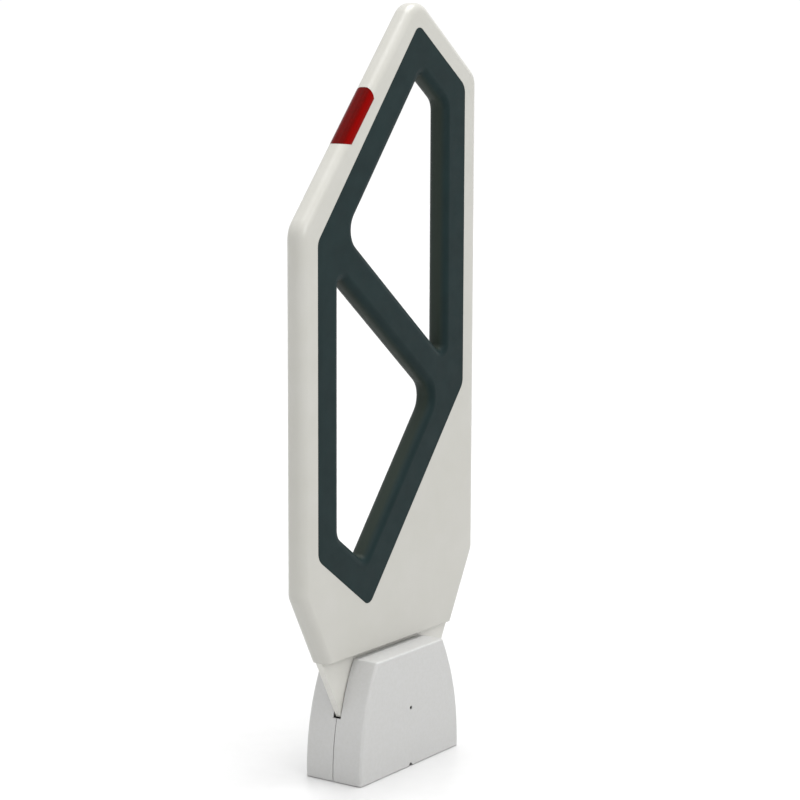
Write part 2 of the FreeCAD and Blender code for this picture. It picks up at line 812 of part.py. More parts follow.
def make_loop_bridge():
    """The terminal strip between the two loops, in the middle of the diagonal bar."""
    body = new_body("loop_bridge")
    lift = "(bar_width / 2 - loop_offset - loop_section / 2) * sqrt(1 + bar_slope ^ 2)"
    slab(body, "bridge", [
        ("-bridge_half", f"insert_centre_height + bar_slope * bridge_half - {lift}"),
        ("bridge_half", f"insert_centre_height - bar_slope * bridge_half - {lift}"),
        ("bridge_half", f"insert_centre_height - bar_slope * bridge_half + {lift}"),
        ("-bridge_half", f"insert_centre_height + bar_slope * bridge_half + {lift}"),
    ], "-loop_section / 2", "loop_section / 2", "front")
    return keep(body, "loop_bridge")


JUNCTION_FLOOR = f"{TONGUE_TOP} + junction_gap"


def make_junction_box():
    """The plug-in box between the loops and the lead, on a foot on top of the tongue."""
    half = "junction_width / 2"
    box = block((f"cable_bore_place - {half}", "-junction_depth / 2", JUNCTION_FLOOR),
                (f"cable_bore_place + {half}", "junction_depth / 2", f"{JUNCTION_FLOOR} + junction_height"))
    feet = []
    for sign in ("-", "+"):
        middle = f"cable_bore_place {sign} junction_width / 3"
        feet.append(block((f"{middle} - panel_wall", "-junction_depth / 3", TONGUE_TOP),
                          (f"{middle} + panel_wall", "junction_depth / 3", JUNCTION_FLOOR)))
    return keep(fused([box] + feet), "loop_junction_box")


def long_side_height(x, grow):
    """The height of the lower window's long side, moved outwards, at a place along the panel."""
    drop = f"(frame_width - ({grow})) * sqrt(1 + insert_slope_long ^ 2)"
    rise = f"insert_peak_rise - {drop} + insert_slope_long * (-({x}) - insert_peak_place)"
    return f"insert_centre_height - ({rise})"


def make_loop_tail():
    """The straight tail from the junction box up to the lower loop."""
    low = f"{JUNCTION_FLOOR} + junction_height"
    outer = "loop_offset + loop_section / 2 + lead_radius"
    high = long_side_height("tail_place", outer)
    tail = rod("lead_radius", f"({high}) - ({low})", ("tail_place", "0", low))
    return keep(tail, "loop_tail")


# ---- the alarm lamp on the sloped edge ----

def make_lamp_lens():
    """A red shell that carries on the panel's rounded edge, open towards the panel's inside."""
    body = new_body("lamp_lens")
    slab(body, "lens", lamp_outline("0", "0", "0"), f"-({FACE})", FACE, "front")
    hollow = lamp_outline("-lens_wall", "-lens_wall", "lens_wall")
    depth = f"({FACE} - lens_wall)"
    slab(body, "lens_hollow", hollow, f"-{depth}", depth, "front", cut=True)
    inner = hollow[:2]
    round_edges(body, slope_edges(body, inner, amount_of(depth)), "panel_edge_radius - lens_wall",
                "lens_hollow_edge")
    outer = lamp_outline("0", "0", "0")[:2]
    round_edges(body, slope_edges(body, outer, amount_of(FACE)), "panel_edge_radius", "lens_edge")
    return keep(body, "lamp_lens")


def slope_edges(body, ends, depth):
    """The two long edges that run along the slope between two corners, at a depth each side."""
    middle_x = (amount_of(ends[0][0]) + amount_of(ends[1][0])) / 2
    middle_z = (amount_of(ends[0][1]) + amount_of(ends[1][1])) / 2

    def runs(edge):
        spot = edge.CenterOfMass
        near = math.hypot(spot.x - middle_x, spot.z - middle_z) < 1.0
        return near and abs(abs(spot.y) - depth) < 0.01
    return edges_where(body, runs)


def lamp_strip(name, low_s, high_s, low_n, high_n, low_y, high_y):
    """A straight strip that lies along the slope."""
    body = new_body(name)
    corners = [along_slope(low_s, low_n), along_slope(high_s, low_n),
               along_slope(high_s, high_n), along_slope(low_s, high_n)]
    slab(body, name + "_strip", corners, low_y, high_y, "front")
    return body


def make_lamp_board():
    """The lamp's board closes the lens from inside."""
    board = lamp_strip("lamp_board", "lamp_place + lamp_taper", "lamp_place + lamp_length - lamp_taper",
                       "lamp_inset", "lamp_inset + lamp_board_thick",
                       "-lamp_board_depth / 2", "lamp_board_depth / 2")
    return keep(board, "lamp_board")


def make_lamp_leds():
    leds = []
    for step in (-2, -1, 0, 1, 2):
        middle = f"(lamp_place + lamp_length / 2 + led_pitch * {step})"
        leds.append(lamp_strip(f"led_{step + 2}", f"{middle} - led_side / 2", f"{middle} + led_side / 2",
                               "lamp_inset - led_tall", "lamp_inset", "-led_side / 2", "led_side / 2"))
    return keep(grouped(leds), "lamp_leds")


# ---- the neck ----

def clamp_bolt_places():
    low = f"{TONGUE_FOOT} + clamp_bolt_lift"
    high = f"{low} + clamp_bolt_rise"
    return [(f"{sign}clamp_bolt_place", z) for sign in ("-", "") for z in (low, high)]


def make_neck_tongue():
    """The plate that carries the panel: its ends lean in with the panel's flanks."""
    body = new_body("neck_tongue")
    foot = flank_half(TONGUE_FOOT)
    step = f"{PANEL_FOOT} - tongue_gap"
    shoulder = flank_half(step)
    root = "tongue_root_half"
    corners = [
        (f"-({foot})", TONGUE_FOOT),
        (foot, TONGUE_FOOT),
        (shoulder, step),
        (root, step),
        (root, TONGUE_TOP),
        (f"-{root}", TONGUE_TOP),
        (f"-{root}", step),
        (f"-({shoulder})", step),
    ]
    slab(body, "tongue", corners, "-tongue_thick / 2", "tongue_thick / 2", "front")
    half = amount_of("tongue_thick / 2")
    inner = amount_of(foot)
    low = amount_of(TONGUE_FOOT)
    ends = edges_where(body, lambda edge: abs(edge.CenterOfMass.x) > inner + 1
                       and abs(abs(edge.CenterOfMass.y) - half) < 0.01
                       and low + 1 < edge.CenterOfMass.z < amount_of(step) - 1)
    round_edges(body, ends, "tongue_edge_radius", "tongue_ends")
    bores = [("-cable_bore_place", "0"), ("cable_bore_place", "0")]
    hole_down(body, "cable_bores", bores, "cable_bore_radius", TONGUE_FOOT, TONGUE_TOP)
    hole_across(body, "clamp_holes", clamp_bolt_places(), "clamp_bolt_radius + clamp_hole_gap",
                "-tongue_thick / 2", "tongue_thick / 2", "front")
    hole_across(body, "screw_holes", tongue_screw_places(), "small_screw_radius + screw_gap",
                "-tongue_thick / 2", "tongue_thick / 2", "front")
    return keep(body, "neck_tongue")


def make_tongue_screws():
    """Screws from the rear of the tongue into the front shell's bosses."""
    length = "tongue_thick + (panel_depth - tongue_thick) / 2 - 2 * panel_wall"
    screws = [bolt((x, "tongue_thick / 2", z), "front", "small_screw_radius", length,
                   "small_head_radius", "small_head_tall") for x, z in tongue_screw_places()]
    return keep(grouped(screws), "tongue_screws")


BRACKET_FACE = "(tongue_thick / 2 + bracket_thick)"


def make_clamp_bolts():
    length = "tongue_thick + 2 * bracket_thick + clamp_head_tall + clamp_bolt_spare"
    bolts = [bolt((x, f"-{BRACKET_FACE}", z), "rear", "clamp_bolt_radius", length,
                  "clamp_head_radius", "clamp_head_tall") for x, z in clamp_bolt_places()]
    return keep(grouped(bolts), "clamp_bolts")


def make_clamp_nuts():
    nuts = []
    for x, z in clamp_bolt_places():
        nut = doc.addObject("Part::Prism", "nut")
        nut.Polygon = 6
        bind(nut, "Circumradius", "clamp_head_radius")
        bind(nut, "Height", "clamp_head_tall")
        place(nut, (x, BRACKET_FACE, z), "rear")
        bore = rod("clamp_bolt_radius", "clamp_head_tall * 2", (x, f"{BRACKET_FACE} - 1", z), "rear")
        nuts.append(cut_from(nut, [bore]))
    return keep(grouped(nuts), "clamp_nuts")


# ---- the base: floor plate, brackets and covers ----

PLATE_LOW = "pad_thick"
PLATE_HIGH = "(pad_thick + plate_thick)"
ANCHOR_SPOTS = [(f"{a}anchor_place", f"{b}anchor_reach") for a in ("-", "") for b in ("-", "")]
FOOT_SPOTS = [(f"{a}foot_screw_place", f"{b}foot_screw_reach") for a in ("-", "") for b in ("-", "")]


def make_floor_plate():
    body = new_body("floor_plate")
    sketch = new_sketch(body, "plate", "XY_Plane", PLATE_LOW)
    draw_outline(sketch, [
        ("-plate_length / 2", "-plate_depth / 2"),
        ("plate_length / 2", "-plate_depth / 2"),
        ("plate_length / 2", "plate_depth / 2"),
        ("-plate_length / 2", "plate_depth / 2"),
    ])
    extrude(body, sketch, "plate_thick")
    upright = edges_where(body, lambda edge: edge.BoundBox.XLength + edge.BoundBox.YLength < 0.01)
    round_edges(body, upright, "plate_corner_radius", "plate_corners")
    hole_down(body, "anchor_holes", ANCHOR_SPOTS, "anchor_radius", PLATE_LOW, PLATE_HIGH)
    hole_down(body, "cable_entry", [("-entry_place", "0")], "entry_radius", PLATE_LOW, PLATE_HIGH)
    hole_down(body, "foot_holes", FOOT_SPOTS, "small_screw_radius + screw_gap", PLATE_LOW, PLATE_HIGH)
    return keep(body, "floor_plate")


def make_foot_pads():
    pads = []
    for a in ("-", ""):
        for b in ("-", ""):
            at = (f"{a}pad_place", f"{b}1 * (plate_depth / 2 - pad_radius + 1)", "0")
            pads.append(rod("pad_radius", "pad_thick", at))
    return keep(grouped(pads), "foot_pads")


def make_cable_grommet():
    outer = "entry_radius - screw_gap"
    x = "-entry_place"
    sleeve = rod(outer, "plate_thick + grommet_lip", (x, "0", PLATE_LOW))
    lip = rod("entry_radius + grommet_lip", "grommet_lip", (x, "0", PLATE_HIGH))
    bore = rod("entry_radius - grommet_wall", "plate_thick * 3", (x, "0", "0"))
    return keep(cut_from(fused([sleeve, lip]), [bore]), "cable_grommet")


def make_clamp_bracket(side):
    """An angle of folded steel; the pair grips the neck between its upright leaves."""
    body = new_body(f"clamp_bracket_{side}")
    sign = SIDE_SIGN[side]
    sketch = new_sketch(body, f"angle_{side}", "YZ_Plane", "-bracket_half")
    leaf = f"{sign} * tongue_thick / 2"
    outside = f"{sign} * {BRACKET_FACE}"
    toe = f"{sign} * ({BRACKET_FACE} + bracket_foot)"
    draw_outline(sketch, [
        (leaf, PLATE_HIGH),
        (toe, PLATE_HIGH),
        (toe, f"{PLATE_HIGH} + bracket_thick"),
        (outside, f"{PLATE_HIGH} + bracket_thick"),
        (outside, "base_height - bracket_headroom"),
        (leaf, "base_height - bracket_headroom"),
    ])
    extrude(body, sketch, "2 * bracket_half")
    heel = (amount_of(leaf), amount_of(PLATE_HIGH))

    def is_heel(edge):
        spot = edge.CenterOfMass
        return abs(spot.y - heel[0]) < 0.01 and abs(spot.z - heel[1]) < 0.01
    round_edges(body, edges_where(body, is_heel), "bracket_bend_radius", f"bend_{side}")
    near = "tongue_thick / 2"
    hole_across(body, f"bolt_holes_{side}", clamp_bolt_places(), "clamp_bolt_radius + clamp_hole_gap",
                near, BRACKET_FACE, side)
    passes = [("-cable_bore_place", "bracket_cable_height"), ("cable_bore_place", "bracket_cable_height")]
    hole_across(body, f"cable_holes_{side}", passes, "bracket_cable_radius", near, BRACKET_FACE, side)
    spots = [spot for spot in FOOT_SPOTS if spot[1].startswith("-") == (side == "front")]
    hole_down(body, f"foot_holes_{side}", spots, "small_screw_radius + screw_gap", PLATE_HIGH,
              f"{PLATE_HIGH} + bracket_thick")
    return keep(body, f"clamp_bracket_{side}")


def make_foot_screws():
    """Screws that fix the brackets' feet to the plate; drawn pointing down."""
    top = f"({PLATE_HIGH} + bracket_thick)"
    screws = []
    for x, y in FOOT_SPOTS:
        head = rod("small_head_radius", "small_head_tall", (x, y, top))
        shank = rod("small_screw_radius", f"{top} - {PLATE_LOW} - 1", (x, y, f"{PLATE_LOW} + 1"))
        screws.append(fused([head, shank]))
    return keep(grouped(screws), "bracket_foot_screws")


def cover_end(z, inset):
    """Half the base's length at a height: its ends are arcs that stand upright at the floor."""
    radius = f"(end_arc_radius - ({inset}))"
    return f"base_length / 2 - end_arc_radius + sqrt({radius} ^ 2 - (({z}) - end_arc_height) ^ 2)"


def cover_outline(inset, low, high):
    """The base's elevation, inset by a wall, between two heights."""
    low_x = cover_end(low, inset)
    high_x = cover_end(high, inset)
    centre = "base_length / 2 - end_arc_radius"
    radius = f"end_arc_radius - ({inset})"
    corners = [(f"-({low_x})", low), (low_x, low), (high_x, high), (f"-({high_x})", high)]
    arcs = {1: (centre, "end_arc_height", radius), 3: (f"-({centre})", "end_arc_height", radius)}
    return corners, arcs


def make_base_cover(side):
    """One half of the base's cover; it pulls straight off along Y once its screw is out."""
    body = new_body(f"base_cover_{side}")
    seam = "cover_seam / 2"
    broad = "base_depth / 2"
    corners, arcs = cover_outline("0", "cover_floor_gap", "base_height")
    slab(body, f"cover_{side}", corners, seam, broad, side, arcs=arcs)
    y = SIDE_SIGN[side] * amount_of(broad)
    top = amount_of("base_height")
    low = amount_of("cover_floor_gap")
    round_edges(body, edges_on_face(body, y, lambda x, z: low + 1 < z < top - 1),
                "cover_corner_radius", f"cover_corners_{side}")
    on_top = edges_where(body, lambda edge: edge.BoundBox.ZMin > top - 0.01 and edge.Length > 5
                         and abs(edge.CenterOfMass.y) > 1)
    round_edges(body, on_top, "cover_top_radius", f"cover_top_{side}")
    inner, inner_arcs = cover_outline("base_wall", "cover_floor_gap", "base_height - base_wall")
    slab(body, f"cavity_{side}", inner, seam, f"{broad} - base_wall", side, cut=True, arcs=inner_arcs)
    slab(body, f"neck_slot_{side}", [
        ("-base_length / 2", f"{TONGUE_FOOT} - slot_floor_gap"),
        ("base_length / 2", f"{TONGUE_FOOT} - slot_floor_gap"),
        ("base_length / 2", "base_height + base_wall"),
        ("-base_length / 2", "base_height + base_wall"),
    ], seam, "tongue_thick / 2 + slot_clearance", side, cut=True)
    hole_across(body, f"drip_notch_{side}", [("0", "cover_floor_gap")], "drip_notch_radius",
                f"{broad} - base_wall", broad, side)
    spot = [("0", "cover_screw_height")]
    boss_across(body, f"cover_boss_{side}", spot, "cover_hole_radius + cover_boss_wall",
                f"{broad} - base_wall - cover_boss_length", f"{broad} - base_wall", side)
    hole_across(body, f"head_recess_{side}", spot, "cover_hole_radius", SCREW_SEAT, broad, side)
    hole_across(body, f"shank_hole_{side}", spot, "small_screw_radius + screw_gap",
                f"{broad} - base_wall - cover_boss_length", SCREW_SEAT, side)
    return keep(body, f"base_cover_{side}")


SCREW_SEAT = "(base_depth / 2 - screw_sink)"
POST_END = "(base_depth / 2 - base_wall - cover_boss_length - cover_seam / 2)"


def signed(side, expression):
    """A distance off the middle plane, written as a place along Y."""
    return f"{SIDE_SIGN[side]} * ({expression})"


def make_cover_screw(side):
    """The captive screw: its head sits just below the cover's face."""
    inwards = "rear" if side == "front" else "front"
    screw = bolt(("0", signed(side, SCREW_SEAT), "cover_screw_height"), inwards, "small_screw_radius",
                 "cover_boss_length + base_wall + 2 * small_head_tall", "small_head_radius",
                 "small_head_tall")
    return keep(screw, f"cover_screw_{side}")


def make_screw_post(side):
    """The threaded post on the bracket that takes the cover's screw."""
    post = rod("cover_hole_radius + cover_boss_wall", f"{POST_END} - {BRACKET_FACE}",
               ("0", signed(side, BRACKET_FACE), "cover_screw_height"), side)
    bore = rod("small_screw_radius + screw_gap", f"{POST_END} - {BRACKET_FACE}",
               ("0", signed(side, f"{BRACKET_FACE} + bracket_thick"), "cover_screw_height"), side)
    return keep(cut_from(post, [bore]), f"screw_post_{side}")


# ---- electronics in the base ----

BOARD_BACK = f"({BRACKET_FACE} + standoff_length)"
BOARD_FRONT = f"({BOARD_BACK} + board_thick)"


def board_corners():
    xs = ("board_start + standoff_inset", "board_start + board_long - standoff_inset")
    zs = ("board_low + standoff_inset", "board_low + board_tall - standoff_inset")
    return [(x, z) for x in xs for z in zs]


def on_board(x, z, wide, tall, proud):
    """A block on the board's front, from its own low corner on the board."""
    return block((f"board_start + {x}", f"-({BOARD_FRONT} + {proud})", f"board_low + {z}"),
                 (f"board_start + {x} + {wide}", f"-{BOARD_FRONT}", f"board_low + {z} + {tall}"))


def make_control_board():
    body = new_body("control_board")
    slab(body, "board", [
        ("board_start", "board_low"),
        ("board_start + board_long", "board_low"),
        ("board_start + board_long", "board_low + board_tall"),
        ("board_start", "board_low + board_tall"),
    ], BOARD_BACK, BOARD_FRONT, "front")
    hole_across(body, "board_holes", board_corners(), "small_screw_radius + screw_gap", BOARD_BACK,
                BOARD_FRONT, "front")
    return keep(body, "control_board")


def make_board_standoffs():
    posts = []
    for x, z in board_corners():
        post = rod("standoff_radius", "standoff_length", (x, f"-{BRACKET_FACE}", z), "front")
        bore = rod("small_screw_radius + screw_gap", "standoff_length",
                   (x, f"-{BRACKET_FACE} - 1", z), "front")
        posts.append(cut_from(post, [bore]))
    return keep(grouped(posts), "board_standoffs")


def make_board_screws():
    screws = [bolt((x, f"-{BOARD_FRONT}", z), "rear", "small_screw_radius",
                   "board_thick + standoff_length * 0.8", "small_head_radius", "small_head_tall")
              for x, z in board_corners()]
    return keep(grouped(screws), "board_screws")


def make_board_parts():
    """Chips, relay, connectors and capacitors, each its own solid on the board."""
    beside = "chip_start + second_chip_step"
    relay_low = "board_tall - relay_drop"
    pieces = [
        on_board("chip_start", "chip_start", "chip_side", "chip_side", "chip_tall"),
        on_board(beside, "chip_start", "chip_side", "chip_side / 2", "chip_tall"),
        on_board("chip_start", relay_low, "relay_side", "relay_side / 2", "relay_side"),
        on_board(beside, relay_low, "relay_side", "relay_side / 2", "relay_side / 2"),
    ]
    for step in (0, 1):
        x = "board_start + board_long - 2 * capacitor_radius"
        z = f"board_low + chip_start + {step} * capacitor_pitch"
        pieces.append(rod("capacitor_radius", "capacitor_tall", (x, f"-{BOARD_FRONT}", z), "front"))
    return keep(grouped(pieces), "board_components")


def make_heat_sink():
    """A finned extrusion on the board beside the relay."""
    base_z = "chip_start + sink_rise"
    pieces = [on_board("sink_start", base_z, "sink_long", "sink_base", "sink_tall")]
    for fin in range(5):
        fin_x = f"sink_start + {fin} * sink_fin_pitch + sink_fin_thick / 2"
        pieces.append(on_board(fin_x, f"{base_z} + sink_base", "sink_fin_thick", "sink_fin_tall",
                               "sink_tall"))
    return keep(fused(pieces), "heat_sink")


def make_power_transformer():
    at = ("transformer_place", BRACKET_FACE, "transformer_height")
    ring = rod("transformer_radius", "transformer_depth", at, "rear")
    bore = rod("transformer_bore", "transformer_depth * 2",
               ("transformer_place", f"{BRACKET_FACE} - 1", "transformer_height"), "rear")
    body = cut_from(ring, [bore])
    doc.recompute()
    rounded = doc.addObject("Part::Fillet", "rounded_ring")
    rounded.Base = body
    outer = amount_of("transformer_radius")
    edges = [i + 1 for i, edge in enumerate(body.Shape.Edges)
             if hasattr(edge.Curve, "Radius") and abs(edge.Curve.Radius - outer) < 0.01]
    fillet = amount_of("transformer_bore / 2")
    rounded.Edges = [(index, fillet, fillet) for index in edges]
    return keep(rounded, "power_transformer")


def make_transformer_bolt():
    face = f"({BRACKET_FACE} + transformer_depth)"
    washer = rod("transformer_radius * 0.6", "bracket_thick / 2",
                 ("transformer_place", face, "transformer_height"), "rear")
    screw = bolt(("transformer_place", f"{face} + bracket_thick / 2", "transformer_height"), "front",
                 "clamp_bolt_radius * 0.75", "transformer_depth + bracket_thick / 2 - 0.3",
                 "clamp_head_radius", "clamp_head_tall")
    return keep(fused([washer, screw]), "transformer_bolt")


def make_terminal_block():
    low = ("terminal_start", BRACKET_FACE, "terminal_height")
    high = ("terminal_start + terminal_long", f"{BRACKET_FACE} + terminal_depth",
            "terminal_height + terminal_tall")
    ports = []
    for step in range(5):
        x = f"terminal_start + terminal_long * {0.1 + 0.2 * step}"
        at = (x, f"{BRACKET_FACE} + terminal_depth / 2", "terminal_height + terminal_tall / 2")
        ports.append(rod("terminal_tall / 6", "terminal_depth", at, "rear"))
    return keep(cut_from(block(low, high), ports), "terminal_block")


def make_fuse_holder():
    y = f"-({BRACKET_FACE} + fuse_radius)"
    tube = rod("fuse_radius", "fuse_long", ("fuse_start", y, "fuse_height"), "right")
    cap = rod("fuse_radius * 1.2", "fuse_long / 5", (f"fuse_start - fuse_long / 5", f"{y} - fuse_radius / 4",
                                                     "fuse_height"), "right")
    return keep(fused([tube, cap]), "fuse_holder")


def make_alarm_buzzer():
    can = rod("buzzer_radius", "buzzer_depth", ("buzzer_place", f"-{BRACKET_FACE}", "buzzer_height"), "front")
    port = rod("buzzer_radius / 5", "buzzer_depth",
               ("buzzer_place", f"-{BRACKET_FACE} - buzzer_depth / 2", "buzzer_height"), "front")
    return keep(cut_from(can, [port]), "alarm_buzzer")


def make_earth_stud():
    """The bonding stud that stands on the plate, with its nut run down."""
    stud = rod("small_screw_radius", "earth_tall", ("earth_place", "earth_reach", PLATE_HIGH))
    keep(stud, "earth_stud")
    nut = doc.addObject("Part::Prism", "earth_nut_body")
    nut.Polygon = 6
    bind(nut, "Circumradius", "small_head_radius + 1")
    bind(nut, "Height", "small_head_tall")
    place(nut, ("earth_place", "earth_reach", PLATE_HIGH))
    bore = rod("small_screw_radius + screw_gap", "earth_tall", ("earth_place", "earth_reach", "pad_thick"))
    return keep(cut_from(nut, [bore]), "earth_nut")


# ---- the two cables, both inside the panel, the neck and the base ----

def make_antenna_lead():
    """From the junction box down a bore of the neck, out through the front bracket to the board."""
    x = "cable_bore_place"
    turn = "bracket_cable_height"
    bent_tube("antenna_lead", [
        (x, "0", JUNCTION_FLOOR),
        (x, "0", turn),
        (x, f"-{BOARD_BACK} + insert_gap", turn),
    ], "lead_radius", ["lead_bend"])


def make_lamp_lead():
    """From the lamp board down the white border and the other bore to the terminal block."""
    lane = "-(panel_width / 2 - lead_lane)"
    slope_start = along_slope("lamp_place + lamp_taper * 2",
                              "lamp_inset + lamp_board_thick + lamp_lead_radius")
    slope_lane = along_slope("lamp_place - lamp_taper * 2", "lead_slope_lane")
    x = "-cable_bore_place"
    out = f"{BRACKET_FACE} + terminal_depth / 2"
    bent_tube("lamp_lead", [
        (slope_start[0], "0", slope_start[1]),
        (slope_lane[0], "0", slope_lane[1]),
        (lane, "0", f"{crown_left(lane)} - border"),
        (lane, "0", "flank_foot_height + border / 2"),
        (f"{x} - 3 * long_bend", "0", f"{JUNCTION_FLOOR} + long_bend"),
        (x, "0", f"{JUNCTION_FLOOR} + lead_bend"),
        (x, "0", "bracket_cable_height"),
        (x, out, "bracket_cable_height"),
        (x, out, "terminal_height + terminal_tall + insert_gap"),
    ], "lamp_lead_radius",
        ["long_bend", "long_bend", "long_bend", "long_bend", "lead_bend", "lead_bend", "lead_bend"])


# ---- build everything, check it and write one file for each sub-part ----

def build():
    for side in ("front", "rear"):
        make_panel_shell(side)
        make_band_insert(side)
    make_dowels("shell_dowels", dowel_places())
    make_dowels("insert_dowels", insert_pin_places())
    for which in ("upper", "lower"):
        make_antenna_loop(which)
    make_loop_clips()
    make_loop_bridge()
    make_junction_box()
    make_loop_tail()
    make_lamp_lens()
    make_lamp_board()
    make_lamp_leds()
    make_neck_tongue()
    make_tongue_screws()
    make_clamp_bolts()
    make_clamp_nuts()
    make_floor_plate()
    make_foot_pads()
    make_cable_grommet()
    make_foot_screws()
    for side in ("front", "rear"):
        make_clamp_bracket(side)
        make_base_cover(side)
        make_cover_screw(side)
        make_screw_post(side)
    make_control_board()
    make_board_standoffs()
    make_board_screws()
    make_board_parts()
    make_heat_sink()
    make_power_transformer()
    make_transformer_bolt()
    make_terminal_block()
    make_fuse_holder()
    make_alarm_buzzer()
    make_earth_stud()
    make_antenna_lead()
    make_lamp_lead()


def check():
    """Refuse a document with a failed feature or a sub-part whose shape isn't sound."""
    faults = []
    for thing in doc.Objects:
        if "Invalid" in thing.State or "Error" in thing.State:
            faults.append(f"{thing.Name}: {thing.State}")
    for part in sub_parts:
        shape = part.Shape
        if shape.isNull() or not shape.isValid() or not shape.Solids:
            faults.append(f"{part.Label}: no sound shape")
    if faults:
        raise ValueError("; ".join(faults))


build()
doc.recompute()
check()
os.makedirs("parts", exist_ok=True)
for part in sub_parts:
    part.Shape.exportStep(f"parts/{part.Label}.step")
    print(f"{part.Label}: {len(part.Shape.Solids)} solids, {part.Shape.Volume / 1000:.1f} cm3")
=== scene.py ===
# %% [markdown]
# # A shop's anti-theft pedestal
# The pedestal is a hollow white plastic panel with two windows, a dark insert round them and a
# red lamp on its sloped edge.  A flat neck carries the panel on a low base with a split cover.
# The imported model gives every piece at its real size, so this file only adds finishes and the
# details that are too fine for it.  It starts by loading that model and keeping its box.

# %% Load the frame
import math
import bmesh
import bpy
from mathutils import Matrix, Vector


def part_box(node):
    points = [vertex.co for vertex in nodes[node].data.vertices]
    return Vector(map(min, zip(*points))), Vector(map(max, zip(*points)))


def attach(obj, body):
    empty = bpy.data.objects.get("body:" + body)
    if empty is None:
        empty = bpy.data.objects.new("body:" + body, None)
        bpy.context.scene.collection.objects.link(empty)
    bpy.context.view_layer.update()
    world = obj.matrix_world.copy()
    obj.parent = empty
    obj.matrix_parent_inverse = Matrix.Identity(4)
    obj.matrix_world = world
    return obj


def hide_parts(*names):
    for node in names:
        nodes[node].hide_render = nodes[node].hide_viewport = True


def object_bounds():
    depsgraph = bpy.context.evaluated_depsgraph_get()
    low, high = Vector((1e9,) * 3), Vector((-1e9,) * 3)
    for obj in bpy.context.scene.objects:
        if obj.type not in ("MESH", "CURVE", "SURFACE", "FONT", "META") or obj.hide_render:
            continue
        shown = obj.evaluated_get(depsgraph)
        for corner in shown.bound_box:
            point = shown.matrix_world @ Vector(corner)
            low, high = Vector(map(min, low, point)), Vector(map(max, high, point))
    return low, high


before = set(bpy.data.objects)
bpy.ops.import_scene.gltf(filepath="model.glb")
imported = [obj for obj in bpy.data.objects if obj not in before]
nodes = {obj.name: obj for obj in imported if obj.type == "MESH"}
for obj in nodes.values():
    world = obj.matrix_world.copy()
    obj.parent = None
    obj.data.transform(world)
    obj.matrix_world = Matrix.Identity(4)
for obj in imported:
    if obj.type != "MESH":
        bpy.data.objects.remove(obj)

cad_low, cad_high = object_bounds()
MM = 0.001
print("pieces from the model:", len(nodes), "height:", round(cad_high.z, 3))

# %% [markdown]
# ## Camera
# The camera stands at eye height, well to the left of the panel's broad face, and looks slightly
# down.  A long lens keeps the upright edges almost parallel.

# %% Camera
SENSOR = 36.0
LENS = 102.88
EYE = Vector((-3.8216, -2.6677, 1.4758))
HEADING = math.radians(55.476)
PITCH = math.radians(8.622)
ROLL = math.radians(0.223)

level = math.cos(PITCH)
ahead = Vector((math.sin(HEADING) * level, math.cos(HEADING) * level, -math.sin(PITCH)))
level_right = ahead.cross(Vector((0, 0, 1))).normalized()
level_up = level_right.cross(ahead)
right = level_right * math.cos(ROLL) + level_up * math.sin(ROLL)
up = level_up * math.cos(ROLL) - level_right * math.sin(ROLL)

camera = bpy.data.objects.new("camera", bpy.data.cameras.new("camera"))
camera.data.sensor_width = SENSOR
camera.data.lens = LENS
camera.data.clip_start = 0.1
camera.data.clip_end = 100
turn = Matrix((right, up, -ahead)).transposed()
camera.matrix_world = Matrix.Translation(EYE) @ turn.to_4x4()
bpy.context.scene.collection.objects.link(camera)
bpy.context.scene.camera = camera
print("camera height:", round(EYE.z, 2), "m, heading:", round(math.degrees(HEADING), 1))

# %% [markdown]
# ## One helper for nodes, one for colours
# Colours are given as the hex values a designer would pick, and one function turns them into the
# linear numbers that Blender wants.  A second small function adds a node with its settings and
# its links in one line.

# %% Colour and node helpers
def linear(hex_value):
    """An sRGB hex string as linear red, green and blue, and a full alpha."""
    parts = [int(hex_value[i:i + 2], 16) / 255 for i in (1, 3, 5)]
    return tuple(p / 12.92 if p <= 0.04045 else ((p + 0.055) / 1.055) ** 2.4 for p in parts) + (1.0,)


def add_node(tree, kind, settings=None, fill=(), **links):
    """A node with its settings.  Its inputs are filled in order, by name, or both.

    An input takes a value, a socket, a node, which gives its first output, or a list of nodes."""
    node = tree.nodes.new(kind)
    for name, value in (settings or {}).items():
        setattr(node, name, value)
    named = [(node.inputs[name.replace("_", " ")], value) for name, value in links.items()]
    for socket, value in list(zip(node.inputs, fill)) + named:
        for source in value if isinstance(value, list) else [value]:
            if isinstance(source, bpy.types.Node):
                source = source.outputs[0]
            if isinstance(source, bpy.types.NodeSocket):
                tree.links.new(source, socket)
            else:
                socket.default_value = source
    return node


print("white is", linear("#FFFFFF"))

# %% [markdown]
# ## Studio
# White plastic shows its form only through soft changes of light.  A pale floor and a bright
# surround give most of the light.  The surround is a touch brighter behind the pedestal than
# in front of it.  A broad overhead bank lifts the slopes and the top of the base, and one small
# panel of light stands in front of the crown.

# %% Floor and lights
FLOOR_SIZE = 30.0
OVERHEAD_FROM = (0.16, -0.06, 0.98)
OVERHEAD_SPREAD = 50
OVERHEAD_STRENGTH = 2.9
CROWN = (0.0, 0.0, cad_high.z - 0.15)
CROWN_PANEL_FROM = (-0.6, -2.0, 2.1)
CROWN_PANEL_SIZE = (1.2, 1.2)
CROWN_PANEL_WATTS = 14


def aim(item, start, goal):
    """Puts a lamp at a place and turns it towards a point."""
    item.location = start
    item.rotation_mode = "QUATERNION"
    item.rotation_quaternion = (Vector(goal) - Vector(start)).to_track_quat("-Z", "Y")
    bpy.context.scene.collection.objects.link(item)


